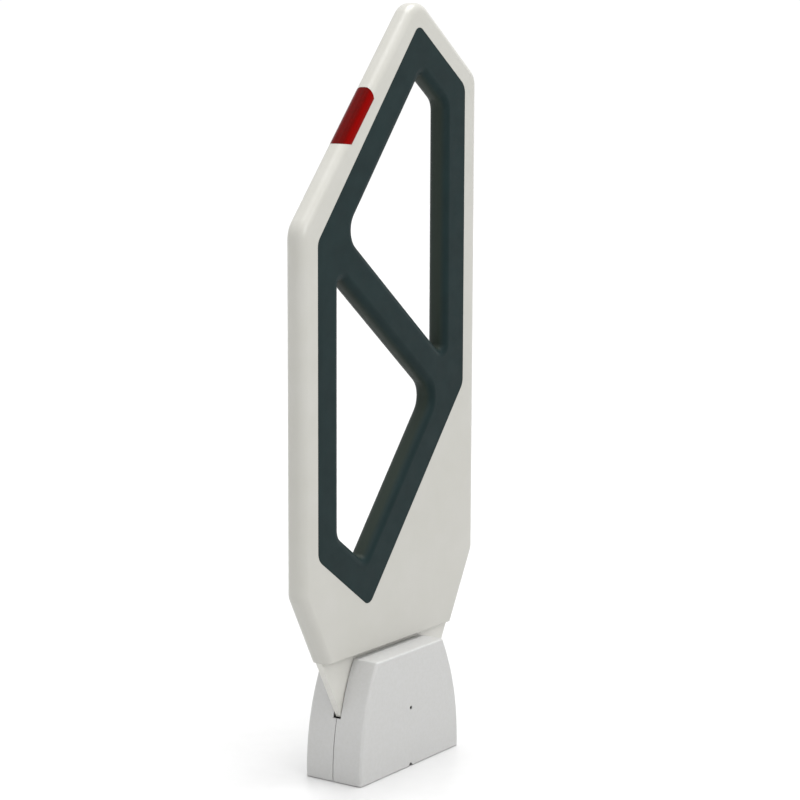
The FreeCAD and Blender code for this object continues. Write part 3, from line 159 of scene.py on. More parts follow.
def light_panel(name, start, goal, size, watts):
    """A flat panel of light."""
    lamp = bpy.data.objects.new(name, bpy.data.lights.new(name, "AREA"))
    lamp.data.shape = "RECTANGLE"
    lamp.data.size, lamp.data.size_y = size
    lamp.data.energy = watts
    aim(lamp, start, goal)


def light_bank(name, start, goal, spread, strength):
    """A bank so large and far that it lights everything alike; the spread softens its shadows."""
    lamp = bpy.data.objects.new(name, bpy.data.lights.new(name, "SUN"))
    lamp.data.angle = math.radians(spread)
    lamp.data.energy = strength
    aim(lamp, start, goal)


half = FLOOR_SIZE / 2
floor_mesh = bpy.data.meshes.new("floor")
corners = [(-half, -half, 0), (half, -half, 0), (half, half, 0), (-half, half, 0)]
floor_mesh.from_pydata(corners, [], [(0, 1, 2, 3)])
floor = bpy.data.objects.new("floor", floor_mesh)
bpy.context.scene.collection.objects.link(floor)

light_bank("overhead", OVERHEAD_FROM, (0, 0, 0), OVERHEAD_SPREAD, OVERHEAD_STRENGTH)
light_panel("crown_panel", CROWN_PANEL_FROM, CROWN, CROWN_PANEL_SIZE, CROWN_PANEL_WATTS)

# %% [markdown]
# ## Surround
# The surround is a plain gradient: the world's own direction, measured along one level line that
# runs away from the camera.

# %% Surround
DIM_SIDE = 0.98
BRIGHT_SIDE = 1.03
DIM_UP_TO = -0.8
BRIGHT_FROM = 0.85

world = bpy.data.worlds.new("surround")
world.use_nodes = True
sky = world.node_tree
direction = add_node(sky, "ShaderNodeTexCoord")
away = (math.sin(HEADING), math.cos(HEADING), 0)
measure = add_node(sky, "ShaderNodeVectorMath", {"operation": "DOT_PRODUCT"},
                   (direction.outputs["Generated"], away))
spread = add_node(sky, "ShaderNodeMapRange", Value=measure.outputs["Value"], From_Min=DIM_UP_TO,
                  From_Max=BRIGHT_FROM, To_Min=DIM_SIDE, To_Max=BRIGHT_SIDE)
sky.links.new(spread.outputs["Result"], sky.nodes["Background"].inputs["Strength"])
sky.nodes["Background"].inputs["Color"].default_value = (1, 1, 1, 1)
bpy.context.scene.world = world
bpy.context.scene.view_settings.view_transform = "Standard"
print("surround:", DIM_SIDE, "to", BRIGHT_SIDE)

# %% [markdown]
# ## How a finish is written
# Each finish below is a short recipe: its plain numbers, then tints, roughness and grain at real
# sizes.

# %% Finish helpers
def new_finish(name, colour, roughness, metallic=0.0, ior=1.5, coat=0.0, gleam=0.5):
    """A finish with its plain numbers on the shader's own sockets.

    Its last result is the object coordinates, which are metres in the model for every piece."""
    material = bpy.data.materials.new(name)
    material.use_nodes = True
    shader = material.node_tree.nodes["Principled BSDF"]
    shader.inputs["Base Color"].default_value = linear(colour)
    shader.inputs["Roughness"].default_value = roughness
    shader.inputs["Metallic"].default_value = metallic
    shader.inputs["IOR"].default_value = ior
    shader.inputs["Coat Weight"].default_value = coat
    shader.inputs["Specular IOR Level"].default_value = gleam
    place = add_node(material.node_tree, "ShaderNodeTexCoord").outputs["Object"]
    return material, material.node_tree, shader, place


def per_size(millimetres):
    """The noise scale that gives features of a real size."""
    return 1.0 / (millimetres * MM)


def wear_tints(tree, shader, place, colours, size_mm, low=0.35, high=0.65):
    """A base colour that drifts between two close tints over patches of a real size."""
    patches = add_node(tree, "ShaderNodeTexNoise", Vector=place, Scale=per_size(size_mm), Detail=4.0)
    ramp = add_node(tree, "ShaderNodeValToRGB", Fac=patches.outputs["Fac"])
    ramp.color_ramp.elements[0].position = low
    ramp.color_ramp.elements[1].position = high
    ramp.color_ramp.elements[0].color = linear(colours[0])
    ramp.color_ramp.elements[1].color = linear(colours[1])
    tree.links.new(ramp.outputs["Color"], shader.inputs["Base Color"])
    return ramp


def roughness_drift(tree, shader, place, size_mm, low, high):
    """Roughness that drifts a little, as handled plastic has."""
    smears = add_node(tree, "ShaderNodeTexNoise", {"normalize": False}, Vector=place,
                      Scale=per_size(size_mm), Detail=3.0)
    spread = add_node(tree, "ShaderNodeMapRange", Value=smears.outputs["Fac"], From_Min=-1.0,
                      To_Min=low, To_Max=high)
    tree.links.new(spread.outputs["Result"], shader.inputs["Roughness"])


def grain(tree, shader, place, size_mm, depth_mm, strength):
    """A moulded grain: bumps of a real size and height."""
    pebbles = add_node(tree, "ShaderNodeTexNoise", {"normalize": False}, Vector=place,
                       Scale=per_size(size_mm), Detail=2.0)
    bump = add_node(tree, "ShaderNodeBump", Height=pebbles.outputs["Fac"], Strength=strength,
                    Distance=depth_mm * MM)
    tree.links.new(bump.outputs["Normal"], shader.inputs["Normal"])


print("finish helpers ready")

# %% [markdown]
# ## Finishes of the outside
# The panel is ABS, injection moulded in a polished tool and then left glossy: it gives long soft
# highlights on its round edges, with a faint orange peel that breaks them.  The insert is the
# same plastic coloured slate and moulded in a spark-eroded tool, so it is satin.  The walls of its
# windows are painted lighter and warmer: a painted reflection of a warm surround, not a tone of
# the plastic.  The base's cover has a coarser pebble grain that hides scuffs near the floor.

# %% Outside plastics
PANEL_WHITE = "#B2B1AB"
PANEL_WHITE_SHADE = "#AFAEA7"
# The neck's white is its own powder-coat white made lighter with painted light, so that its face under
# the panel's overhang reads as lit.
NECK_WHITE = "#C9C8C2"
NECK_WHITE_SHADE = "#C5C4BE"
COVER_WHITE = "#B8B8B7"
COVER_WHITE_SHADE = "#B5B5B3"
SLATE = "#142526"
SLATE_SHADE = "#112122"
# The window walls' colour is a painted reflection of a warm surround; the two limits below pick walls
# by how far they turn from the broad faces.
SLATE_WALL_PAINTED_REFLECTION = "#262E29"
WALL_TURNED = 0.3
FACE_TURNED = 0.75
LENS_RED = "#5C0604"
LENS_RED_DEEP = "#470504"
# The lens's sides are painted brighter: painted light where light catches them.
LENS_RED_SIDE_PAINTED_LIGHT = "#740504"
LENS_SHEEN = "#E01608"
LENS_SIDE_START = 14 * MM
LENS_SIDE_END = 20 * MM


def gloss_abs(name, colour, shade):
    """Polished ABS: the drift in tint is only just visible, the peel breaks the highlights."""
    material, tree, shader, place = new_finish(name, colour, 0.34, ior=1.53, coat=0.25)
    shader.inputs["Coat Roughness"].default_value = 0.08
    wear_tints(tree, shader, place, (colour, shade), size_mm=90)
    roughness_drift(tree, shader, place, size_mm=60, low=0.3, high=0.38)
    grain(tree, shader, place, size_mm=5.0, depth_mm=0.03, strength=0.1)
    return material


def satin_abs(name, colour, shade):
    """Spark-eroded ABS: a fine even grain, drawn at 1.5 mm because 0.2 mm can't be seen."""
    material, tree, shader, place = new_finish(name, colour, 0.46, ior=1.53, gleam=0.1)
    wear_tints(tree, shader, place, (colour, shade), size_mm=45)
    roughness_drift(tree, shader, place, size_mm=30, low=0.4, high=0.52)
    grain(tree, shader, place, size_mm=1.5, depth_mm=0.1, strength=0.35)
    return material


def painted_wall_reflection_abs(name, colour, shade, wall):
    """Satin ABS with a painted reflection: walls turned away from the broad faces get a warmer colour.
    """
    material = satin_abs(name, colour, shade)
    tree = material.node_tree
    shader = tree.nodes["Principled BSDF"]
    face_colour = shader.inputs["Base Color"].links[0].from_socket
    surface = add_node(tree, "ShaderNodeNewGeometry")
    turned = add_node(tree, "ShaderNodeSeparateXYZ", Vector=surface.outputs["Normal"])
    broad = add_node(tree, "ShaderNodeMath", {"operation": "ABSOLUTE"}, (turned.outputs["Y"],))
    # Painted reflection: the more a surface turns from the broad faces, the more it takes the wall
    # colour.
    painted_reflection_mask = add_node(tree, "ShaderNodeMapRange", Value=broad, From_Min=WALL_TURNED,
                        From_Max=FACE_TURNED, To_Min=1.0, To_Max=0.0)
    painted_reflection_mix = add_node(tree, "ShaderNodeMixRGB", Fac=painted_reflection_mask, Color1=face_colour, Color2=linear(wall))
    tree.links.new(painted_reflection_mix.outputs["Color"], shader.inputs["Base Color"])
    return material


def pebbled_abs(name, colour, shade):
    """Grained ABS: shallow pebbles about 2 mm across."""
    material, tree, shader, place = new_finish(name, colour, 0.42, ior=1.53)
    wear_tints(tree, shader, place, (colour, shade), size_mm=6)
    roughness_drift(tree, shader, place, size_mm=12, low=0.4, high=0.5)
    grain(tree, shader, place, size_mm=2.2, depth_mm=0.16, strength=0.5)
    return material


def powder_coat(name, colour, shade):
    """Powder-coated steel: a slight orange peel about 3 mm across."""
    material, tree, shader, place = new_finish(name, colour, 0.34, ior=1.5)
    wear_tints(tree, shader, place, (colour, shade), size_mm=50)
    grain(tree, shader, place, size_mm=3.0, depth_mm=0.06, strength=0.3)
    return material


def red_polycarbonate(name):
    """Clear red polycarbonate: deep in the middle, with painted light that makes its sides brighter."""
    material, tree, shader, place = new_finish(name, LENS_RED, 0.25, ior=1.585, gleam=0.1)
    shader.inputs["Specular Tint"].default_value = linear(LENS_SHEEN)
    middle = wear_tints(tree, shader, place, (LENS_RED, LENS_RED_DEEP), size_mm=7,
                        low=0.2, high=0.9)
    axes = add_node(tree, "ShaderNodeSeparateXYZ", Vector=place)
    off_centre = add_node(tree, "ShaderNodeMath", {"operation": "ABSOLUTE"}, Value=axes.outputs["Y"])
    # Painted light: the sides of the lens, away from its middle plane, are made brighter.
    side = add_node(tree, "ShaderNodeMapRange", Value=off_centre, From_Min=LENS_SIDE_START,
                    From_Max=LENS_SIDE_END)
    painted_side_light = add_node(tree, "ShaderNodeMixRGB", Fac=side, Color1=middle, Color2=linear(LENS_RED_SIDE_PAINTED_LIGHT))
    tree.links.new(painted_side_light.outputs["Color"], shader.inputs["Base Color"])
    return material


finish = {
    "panel": gloss_abs("gloss_abs_white", PANEL_WHITE, PANEL_WHITE_SHADE),
    "insert": painted_wall_reflection_abs("satin_abs_slate_painted_wall_reflection", SLATE, SLATE_SHADE, SLATE_WALL_PAINTED_REFLECTION),
    "cover": pebbled_abs("pebbled_abs_white", COVER_WHITE, COVER_WHITE_SHADE),
    # The neck's finish holds painted light as well as its own white.
    "neck": powder_coat("powder_coat_white_painted_light", NECK_WHITE, NECK_WHITE_SHADE),
    "lens": red_polycarbonate("red_polycarbonate"),
    "floor": powder_coat("pale_floor", "#CACACA", "#C8C8C8"),
}
floor.data.materials.append(finish["floor"])
print("outside finishes:", len(finish))

# %% [markdown]
# ## Finishes of the inside
# These show when a cover half is pulled off.  Zinc-plated steel has a soft grey lustre with
# small crystal patches, turned brass is brighter and warmer, and the board is glass laminate
# under green resin, with its tracks as lighter bands.

# %% Inside metals, boards and rubber
def plated_metal(name, colour, shade, roughness):
    """Bare or plated metal: tint patches of a few millimetres and a fine surface grain."""
    material, tree, shader, place = new_finish(name, colour, roughness, metallic=1.0)
    wear_tints(tree, shader, place, (colour, shade), size_mm=4)
    roughness_drift(tree, shader, place, size_mm=3, low=roughness * 0.8, high=roughness * 1.3)
    grain(tree, shader, place, size_mm=0.8, depth_mm=0.03, strength=0.3)
    return material


def soft_rubber(name, colour, shade):
    """Moulded rubber or cable jacket: matt, with a dusty bloom."""
    material, tree, shader, place = new_finish(name, colour, 0.7, ior=1.52)
    wear_tints(tree, shader, place, (colour, shade), size_mm=12)
    grain(tree, shader, place, size_mm=1.2, depth_mm=0.08, strength=0.4)
    return material


def circuit_laminate(name):
    """Green solder resist: tracks show as slightly lighter bands with square corners."""
    material, tree, shader, place = new_finish(name, "#0F4A2B", 0.3, ior=1.55, coat=0.2)
    upright = add_node(tree, "ShaderNodeMapping", Vector=place, Rotation=(math.radians(-90), 0, 0))
    tracks = add_node(tree, "ShaderNodeTexBrick", Vector=upright, Scale=1.0, Color1=linear("#0E4628"),
                      Color2=linear("#17653C"), Mortar=linear("#1F7A48"), Brick_Width=9 * MM,
                      Row_Height=2.5 * MM, Mortar_Size=0.3 * MM)
    tree.links.new(tracks.outputs["Color"], shader.inputs["Base Color"])
    return material


finish["zinc"] = plated_metal("zinc_plated_steel", "#B9BAB6", "#9C9E9C", 0.32)
# Black oxide steel; on the cover screws its black is also painted shade for their recesses.
finish["black_oxide_and_shade"] = plated_metal("black_oxide_steel", "#1E1F20", "#161718", 0.45)
finish["brass"] = plated_metal("turned_brass", "#C9A45A", "#B08C48", 0.28)
finish["aluminium"] = plated_metal("extruded_aluminium", "#C6C8CA", "#B3B6B9", 0.35)
finish["steel_coat"] = powder_coat("grey_powder_coat", "#6A6D70", "#606366")
finish["rubber"] = soft_rubber("black_rubber", "#1A1A1A", "#222221")
finish["jacket"] = soft_rubber("cable_jacket", "#202124", "#1A1B1D")
finish["black_plastic"] = satin_abs("black_nylon", "#1B1C1E", "#232426")
finish["nylon"] = satin_abs("natural_nylon", "#E0DACB", "#D6CFBE")
finish["board"] = circuit_laminate("circuit_laminate")
finish["tape"] = satin_abs("amber_winding_tape", "#A57A22", "#8E661A")
finish["wrap"] = satin_abs("blue_transformer_tape", "#24346B", "#1C2A58")
finish["led"] = gloss_abs("led_resin", "#F1E9D8", "#E8DDC6")
print("finishes in all:", len(finish))

# %% [markdown]
# ## Finishes on the model's own pieces
# A piece that isn't in the list is a plated fastener.

# %% Give every model piece its finish
NODE_FINISH = {
    "panel_shell_front": "panel", "panel_shell_rear": "panel",
    "band_insert_front": "insert", "band_insert_rear": "insert",
    "base_cover_front": "cover", "base_cover_rear": "cover",
    "neck_tongue": "neck", "lamp_lens": "lens",
    "shell_dowels": "nylon", "insert_dowels": "nylon",
    "upper_antenna_loop": "tape", "lower_antenna_loop": "tape",
    "loop_clips": "nylon", "loop_bridge": "black_plastic", "loop_junction_box": "black_plastic",
    "loop_tail": "jacket", "antenna_lead": "jacket", "lamp_lead": "jacket",
    "lamp_board": "board", "control_board": "board", "lamp_leds": "led",
    "board_components": "black_plastic", "terminal_block": "black_plastic",
    "fuse_holder": "black_plastic", "alarm_buzzer": "black_plastic",
    "heat_sink": "aluminium", "power_transformer": "wrap",
    "board_standoffs": "brass", "earth_stud": "brass",
    "clamp_bracket_front": "steel_coat", "clamp_bracket_rear": "steel_coat",
    "floor_plate": "steel_coat", "foot_pads": "rubber", "cable_grommet": "rubber",
}
for name, node in nodes.items():
    node.data.materials.clear()
    node.data.materials.append(finish[NODE_FINISH.get(name, "zinc")])
print("model pieces with a finish:", len(nodes))

# %% [markdown]
# ## Reading places from the model
# A node such as the clamp bolts holds several solids.  Walking its joined vertices finds each
# solid's own box, so every screw below stands exactly where the model's screw stands.

# %% Find each solid's box
def solid_boxes(name):
    """The lowest and highest corner of each separate solid in a node."""
    copy = bmesh.new()
    copy.from_mesh(nodes[name].data)
    bmesh.ops.remove_doubles(copy, verts=copy.verts, dist=0.001 * MM)
    seen = set()
    found = []
    for start in copy.verts:
        if start in seen:
            continue
        seen.add(start)
        waiting = [start]
        places = []
        while waiting:
            vertex = waiting.pop()
            places.append(vertex.co.copy())
            for edge in vertex.link_edges:
                other = edge.other_vert(vertex)
                if other not in seen:
                    seen.add(other)
                    waiting.append(other)
        low = Vector([min(p[axis] for p in places) for axis in range(3)])
        high = Vector([max(p[axis] for p in places) for axis in range(3)])
        found.append((low, high))
    copy.free()
    return found


print("clamp bolts found:", len(solid_boxes("clamp_bolts")))

# %% [markdown]
# ## One tree, many screws
# A socket screw is a turned head with a chamfer, a broached recess and a shank.  Geometry Nodes
# make it once from named sizes, put it on every point of a small mesh, and turn the copies into
# real faces.  Modelling one by hand and copying it would work too, but then a change of size
# would have to be made for each kind of screw.

# %% Geometry Nodes helpers
SOCKET_KINDS = {float: "NodeSocketFloat", int: "NodeSocketInt", tuple: "NodeSocketVector"}


def new_tree(name, sizes):
    """An empty tree with a geometry in and out, a material, and one named input for each size."""
    tree = bpy.data.node_groups.new(name, "GeometryNodeTree")
    tree.interface.new_socket("Geometry", in_out="INPUT", socket_type="NodeSocketGeometry")
    tree.interface.new_socket("Geometry", in_out="OUTPUT", socket_type="NodeSocketGeometry")
    tree.interface.new_socket("Material", in_out="INPUT", socket_type="NodeSocketMaterial")
    for label, value in sizes.items():
        socket = tree.interface.new_socket(label, in_out="INPUT", socket_type=SOCKET_KINDS[type(value)])
        socket.default_value = value
    return tree, tree.nodes.new("NodeGroupInput").outputs


def scatter(tree, given, shape, turn=(0.0, 0.0, 0.0)):
    """Ends a tree: the shape on every point, as real faces with their material."""
    points = add_node(tree, "GeometryNodeMeshToPoints", Mesh=given["Geometry"])
    copies = add_node(tree, "GeometryNodeInstanceOnPoints", Points=points, Instance=shape,
                      Rotation=turn)
    real = add_node(tree, "GeometryNodeRealizeInstances", Geometry=copies)
    painted = add_node(tree, "GeometryNodeSetMaterial", Geometry=real, Material=given["Material"])
    add_node(tree, "NodeGroupOutput", Geometry=painted)


def hand_over(piece, body, replaced=()):
    """Hangs a piece under the empty of the body that it moves with, and hides the model pieces it
    replaces.
    """
    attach(piece, body)
    if replaced:
        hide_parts(*replaced)


def grow(name, points, tree, material, sizes, body, replaced=()):
    """Runs a tree on some points and keeps the result as a plain mesh."""
    seeds = bpy.data.meshes.new(name + "_seeds")
    seeds.from_pydata(points, [], [])
    piece = bpy.data.objects.new(name, seeds)
    bpy.context.scene.collection.objects.link(piece)
    modifier = piece.modifiers.new("grow", "NODES")
    modifier.node_group = tree
    wanted = dict(sizes, Material=material)
    for item in tree.interface.items_tree:
        if item.in_out == "INPUT" and item.name in wanted:
            modifier[item.identifier] = wanted[item.name]
    ready = piece.evaluated_get(bpy.context.evaluated_depsgraph_get())
    mesh = bpy.data.meshes.new_from_object(ready)
    piece.modifiers.remove(modifier)
    piece.data = mesh
    hand_over(piece, body, replaced)
    print(name, "faces:", len(mesh.polygons))


print("tree helpers ready")

# %% [markdown]
# ## The screw tree
# The head, its chamfer and the shank are joined into one closed solid, and the recess is cut out
# of its top.  The head's underside is at the point that it grows on.

# %% The screw tree
SCREW_SIZES = {
    "Head Radius": 3.5 * MM, "Head Tall": 4 * MM, "Rim Radius": 3.1 * MM, "Rim Tall": 0.5 * MM,
    "Recess Radius": 1.7 * MM, "Recess Deep": 2 * MM, "Recess Sides": 6,
    "Recess Shape": (1.0, 1.0, 1.0), "Shank Radius": 2 * MM, "Shank Length": 12 * MM,
    "Turn": (0.0, 0.0, 0.0),
}
SUBTRACT, MULTIPLY = {"operation": "SUBTRACT"}, {"operation": "MULTIPLY"}
UNION, CUT = {"operation": "UNION", "solver": "EXACT"}, {"operation": "DIFFERENCE", "solver": "EXACT"}
AS_IT_IS = (1.0, 1.0, 1.0)

screws, given = new_tree("socket_screws", SCREW_SIZES)
body_tall = add_node(screws, "ShaderNodeMath", SUBTRACT, (given["Head Tall"], given["Rim Tall"]))
half_body = add_node(screws, "ShaderNodeMath", MULTIPLY, (body_tall, 0.5))
half_shank = add_node(screws, "ShaderNodeMath", MULTIPLY, (given["Shank Length"], -0.5))
recess_tall = add_node(screws, "ShaderNodeMath", MULTIPLY, (given["Recess Deep"], 2.0))
drum = add_node(screws, "GeometryNodeMeshCylinder", Vertices=28, Radius=given["Head Radius"],
                Depth=body_tall)
rim = add_node(screws, "GeometryNodeMeshCone", Vertices=28, Radius_Top=given["Rim Radius"],
               Radius_Bottom=given["Head Radius"], Depth=given["Rim Tall"])
shank = add_node(screws, "GeometryNodeMeshCylinder", Vertices=20, Radius=given["Shank Radius"],
                 Depth=given["Shank Length"])
recess = add_node(screws, "GeometryNodeMeshCylinder", Vertices=given["Recess Sides"],
                  Radius=given["Recess Radius"], Depth=recess_tall)
placed = []
for solid, height, shape in ((drum, half_body, AS_IT_IS), (rim, body_tall, AS_IT_IS),
                             (shank, half_shank, AS_IT_IS),
                             (recess, given["Head Tall"], given["Recess Shape"])):
    place = add_node(screws, "ShaderNodeCombineXYZ", Z=height)
    placed.append(add_node(screws, "GeometryNodeTransform", Geometry=solid, Translation=place,
                           Scale=shape))
*solids, cutter = placed
blank = add_node(screws, "GeometryNodeMeshBoolean", UNION, Mesh_2=solids)
screw = add_node(screws, "GeometryNodeMeshBoolean", CUT, Mesh_1=blank, Mesh_2=cutter)
scatter(screws, given, screw, given["Turn"])
print("screw tree nodes:", len(screws.nodes))

# %% [markdown]
# ## Screws of the clamp, the board and the covers
# Each kind of screw is the same tree with other sizes.  The clamp's M8 cap screws are plated,
# the cover's two captive screws are black oxide, whose black also serves as painted shade inside
# their recesses, and the pan heads on the board and the bracket feet have a small drive.

# %% Place the screws
RIM_RADIUS_SHARE = 0.9
RIM_TALL_SHARE = 0.14
RECESS_RADIUS_SHARE = 0.5
RECESS_DEEP_SHARE = 0.55
FACING = {
    "front": (math.radians(90), 0.0, 0.0),
    "rear": (math.radians(-90), 0.0, 0.0),
    "up": (0.0, 0.0, 0.0),
}


def seat_of(low, high, facing, head_tall):
    """The point under a screw's head, and the length of its shank, from the model's box."""
    middle = (low + high) / 2
    if facing == "front":
        return (middle.x, low.y + head_tall, middle.z), high.y - low.y - head_tall
    if facing == "rear":
        return (middle.x, high.y - head_tall, middle.z), high.y - low.y - head_tall
    return (middle.x, middle.y, high.z - head_tall), high.z - low.z - head_tall


def screw_set(name, node, facing, head_tall, shank_radius, finish_name, body="root"):
    """A screw at each solid of a node, as large as the model's own.  Sizes are in millimetres."""
    boxes = solid_boxes(node)
    seats = [seat_of(low, high, facing, head_tall * MM) for low, high in boxes]
    low, high = boxes[0]
    radius = (high.x - low.x) / 2
    sizes = {
        "Head Radius": radius, "Head Tall": head_tall * MM,
        "Rim Radius": radius * RIM_RADIUS_SHARE, "Rim Tall": head_tall * MM * RIM_TALL_SHARE,
        "Recess Radius": radius * RECESS_RADIUS_SHARE,
        "Recess Deep": head_tall * MM * RECESS_DEEP_SHARE,
        "Shank Radius": shank_radius * MM, "Shank Length": seats[0][1],
        "Turn": FACING[facing],
    }
    points = [seat for seat, length in seats]
    grow(name, points, screws, finish[finish_name], sizes, body, [node])


screw_set("clamp_cap_screws", "clamp_bolts", "front", 5.5, 4.0, "zinc")
screw_set("bracket_pan_screws", "bracket_foot_screws", "up", 4.0, 2.0, "zinc")
screw_set("board_pan_screws", "board_screws", "front", 4.0, 2.0, "zinc")
for side in ("front", "rear"):
    # Black oxide, and painted shade for the recesses these screws sit in.
    screw_set(f"{side}_cover_cap_screw", f"cover_screw_{side}", side, 4.0, 2.0, "black_oxide_and_shade",
              f"{side}_cover")

# %% [markdown]
# ## Ribs inside the cover
# A moulded cover this wide has upright ribs behind its broad wall, or it would drum and sink
# between its bosses.  They follow a rule, so one tree makes them all: a tapered rib, repeated on
# points that step along the wall and miss the screw's boss in the middle.

# %% The rib tree and the two sets of ribs
RIB_SIZES = {"Foot": 2.4 * MM, "Deep": 5 * MM, "Tall": 200 * MM}
SQUARE = math.sqrt(0.5)
RIB_TAPER = 0.75
RIB_MARGIN = 22 * MM
COVER_WALL = 3 * MM
RIB_STEP = 30 * MM
RIB_DEPTH_SHARE = 0.45
RIB_PLACES = (-3, -2, -1, 1, 2, 3)

ribs, given = new_tree("cover_ribs", dict(RIB_SIZES, Turn=(0.0, 0.0, 0.0)))
wedge = add_node(ribs, "GeometryNodeMeshCone", Vertices=4, Radius_Top=SQUARE * RIB_TAPER,
                 Radius_Bottom=SQUARE, Depth=1.0)
square = add_node(ribs, "GeometryNodeTransform", Geometry=wedge, Rotation=(0.0, 0.0, math.radians(45)))
shape = add_node(ribs, "ShaderNodeCombineXYZ", X=given["Foot"], Y=given["Tall"], Z=given["Deep"])
rib = add_node(ribs, "GeometryNodeTransform", Geometry=square, Scale=shape)
scatter(ribs, given, rib, given["Turn"])

for side, sign in (("front", -1), ("rear", 1)):
    low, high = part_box(f"base_cover_{side}")
    wall = (low.y if sign < 0 else high.y) - sign * COVER_WALL
    middle = (low.z + high.z) / 2
    tall = (high.z - low.z) - 2 * RIB_MARGIN
    seat = wall - sign * RIB_DEPTH_SHARE * RIB_SIZES["Deep"]
    points = [(step * RIB_STEP, seat, middle) for step in RIB_PLACES]
    turn = (math.radians(90 * sign), 0.0, 0.0)
    grow(f"{side}_cover_ribs", points, ribs, finish["cover"], {"Tall": tall, "Turn": turn},
         f"{side}_cover")

# %% [markdown]
# ## The toroidal transformer
# A ring transformer is wound, then wrapped in overlapping turns of polyester tape.  Its surface
# follows a rule: a round-cornered section turned about the axis, where each turn of tape starts
# a fraction of a millimetre proud and sinks under the next.  A loop writes that rule straight
# into a mesh, which stays one closed skin.

# %% Wind the tape
TAPE_TURNS = 40
STEPS_PER_TURN = 4
TAPE_PROUD = 0.7 * MM
RING_BORE_RADIUS = 10 * MM
SECTION_CORNER = 5.5 * MM
CORNER_STEPS = 5


def ring_section(inner, outer, near, far, corner):
    """The ring's section as radius and depth, with round corners, and each point's outward turn."""
    centres = [(outer - corner, far - corner, 0), (inner + corner, far - corner, 90),
               (inner + corner, near + corner, 180), (outer - corner, near + corner, 270)]
    points = []
    for radius, depth, start in centres:
        for step in range(CORNER_STEPS + 1):
            angle = math.radians(start + 90 * step / CORNER_STEPS)
            points.append((radius + corner * math.cos(angle), depth + corner * math.sin(angle), angle))
    return points


low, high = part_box("power_transformer")
axis = (low + high) / 2
outer = (high.x - low.x) / 2 - TAPE_PROUD
inner = RING_BORE_RADIUS + TAPE_PROUD
section = ring_section(inner, outer, low.y + TAPE_PROUD, high.y - TAPE_PROUD, SECTION_CORNER)
around = TAPE_TURNS * STEPS_PER_TURN
corners = []
for step in range(around):
    proud = TAPE_PROUD * (1 - (step % STEPS_PER_TURN) / (STEPS_PER_TURN - 1))
    angle = 2 * math.pi * step / around
    for radius, depth, lean in section:
        reach = radius + proud * math.cos(lean)
        corners.append((axis.x + reach * math.cos(angle), depth + proud * math.sin(lean),
                        axis.z + reach * math.sin(angle)))
many = len(section)
faces = []
for step in range(around):
    for spot in range(many):
        here = step * many + spot
        beside = step * many + (spot + 1) % many
        next_ring = (step + 1) % around * many
        faces.append((here, next_ring + spot, next_ring + (spot + 1) % many, beside))
wound = bpy.data.meshes.new("taped_transformer")
wound.from_pydata(corners, [], faces)
skin = bmesh.new()
skin.from_mesh(wound)
bmesh.ops.recalc_face_normals(skin, faces=skin.faces)
skin.to_mesh(wound)
skin.free()
wound.materials.append(finish["wrap"])
taped = bpy.data.objects.new("taped_transformer", wound)
bpy.context.scene.collection.objects.link(taped)
hand_over(taped, "root", ["power_transformer"])
print("taped transformer faces:", len(faces))

# %% [markdown]
# ## Small things on the board
# Chips stand on rows of bent legs, and each capacitor shows a bright aluminium end inside its
# black sleeve.  Both repeat, so each is one small tree on points that come from the model's boxes.

# %% Legs and capacitor ends
LEG_PITCH = 2.54 * MM
LEG_OUT = 0.5 * MM
LEG_LIFT = 0.2 * MM
CHIP_LIMIT = 4 * MM
CAN_SLIMNESS = 1.2
DISH_SHARE = 0.8
DISH_RISE = 0.6

legs, given = new_tree("chip_legs", {"Wide": 0.6 * MM, "Reach": 1.6 * MM, "Thick": 0.3 * MM,
                                     "Rise": 1.4 * MM})
foot_size = add_node(legs, "ShaderNodeCombineXYZ", X=given["Reach"], Y=given["Thick"], Z=given["Wide"])
foot = add_node(legs, "GeometryNodeMeshCube", Size=foot_size)
shin_size = add_node(legs, "ShaderNodeCombineXYZ", X=given["Thick"], Y=given["Rise"], Z=given["Wide"])
shin = add_node(legs, "GeometryNodeMeshCube", Size=shin_size)
lift = add_node(legs, "ShaderNodeMath", MULTIPLY, (given["Rise"], -0.5))
lifted = add_node(legs, "ShaderNodeCombineXYZ", Y=lift)
stood = add_node(legs, "GeometryNodeTransform", Geometry=shin, Translation=lifted)
scatter(legs, given, add_node(legs, "GeometryNodeMeshBoolean", UNION, Mesh_2=[foot, stood]))

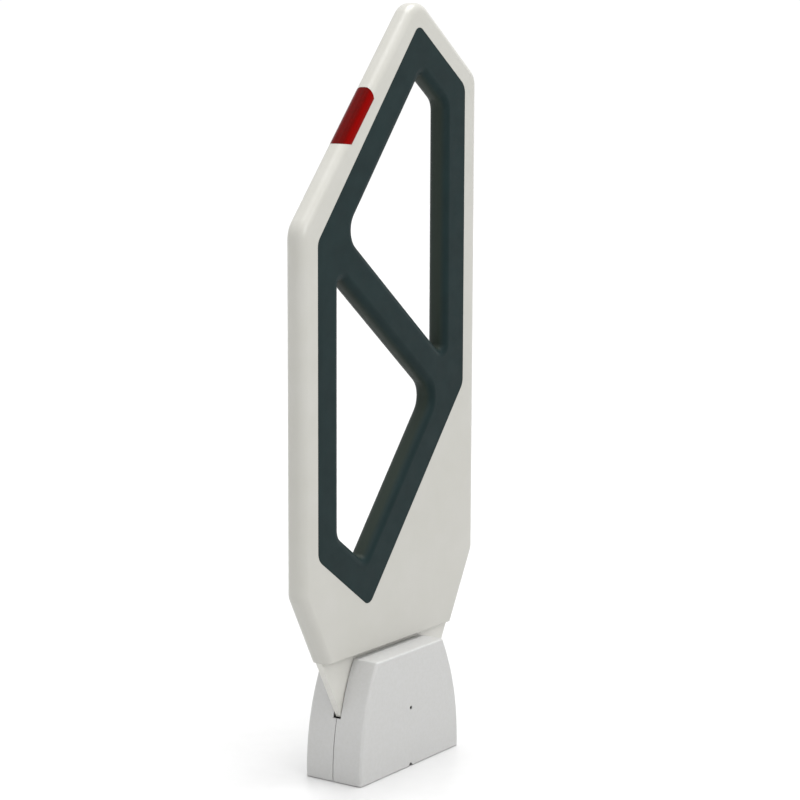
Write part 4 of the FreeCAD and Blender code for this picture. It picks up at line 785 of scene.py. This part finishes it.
board_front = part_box("control_board")[0].y
leg_points = []
cans = []
for low, high in solid_boxes("board_components"):
    deep = high.y - low.y
    wide = high.x - low.x
    if deep < CHIP_LIMIT:
        count = int((high.z - low.z) / LEG_PITCH)
        start = (low.z + high.z) / 2 - (count - 1) / 2 * LEG_PITCH
        for side in (low.x - LEG_OUT, high.x + LEG_OUT):
            leg_points += [(side, board_front - LEG_LIFT, start + step * LEG_PITCH)
                           for step in range(count)]
    elif deep > wide * CAN_SLIMNESS:
        cans.append(((low.x + high.x) / 2, low.y, (low.z + high.z) / 2))
grow("chip_legs", leg_points, legs, finish["zinc"], {}, "root")

ends, given = new_tree("capacitor_ends", {"Radius": 5.9 * MM, "Tall": 0.6 * MM,
                                          "Turn": FACING["front"]})
plate = add_node(ends, "GeometryNodeMeshCylinder", Vertices=36, Radius=given["Radius"],
                 Depth=given["Tall"])
inner_radius = add_node(ends, "ShaderNodeMath", MULTIPLY, (given["Radius"], DISH_SHARE))
dish_rise = add_node(ends, "ShaderNodeMath", MULTIPLY, (given["Tall"], DISH_RISE))
dish = add_node(ends, "GeometryNodeMeshCylinder", Vertices=36, Radius=inner_radius,
                Depth=given["Tall"])
dish_place = add_node(ends, "ShaderNodeCombineXYZ", Z=dish_rise)
cutter = add_node(ends, "GeometryNodeTransform", Geometry=dish, Translation=dish_place)
cap = add_node(ends, "GeometryNodeMeshBoolean", CUT, Mesh_1=plate, Mesh_2=cutter)
scatter(ends, given, cap, given["Turn"])
grow("capacitor_ends", cans, ends, finish["aluminium"], {}, "root")

# %% [markdown]
# ## Terminal screws
# The terminal block clamps its wires with slotted screws.  They are the screw tree again: a
# four-sided cutter, stretched one way and squeezed the other, leaves a slot.

# %% Terminal screws
PORTS = 5
HEAD_SINK = 0.5 * MM
LEAD_ROOM = 6 * MM
low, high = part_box("terminal_block")
lead_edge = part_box("lamp_lead")[1].x
ports = [low.x + (port + 0.5) * (high.x - low.x) / PORTS for port in range(PORTS)]
heads = [(port, (low.y + high.y) / 2, high.z - HEAD_SINK) for port in ports
         if abs(port - lead_edge) > LEAD_ROOM]
grow("terminal_slot_screws", heads, screws, finish["zinc"], {
    "Head Radius": 3.2 * MM, "Head Tall": 1.2 * MM, "Rim Radius": 2.9 * MM, "Rim Tall": 0.2 * MM,
    "Recess Radius": 4 * MM, "Recess Deep": 0.7 * MM, "Recess Sides": 4,
    "Recess Shape": (1.0, 0.16, 1.0), "Shank Radius": 1.4 * MM, "Shank Length": 0.4 * MM,
}, "root")
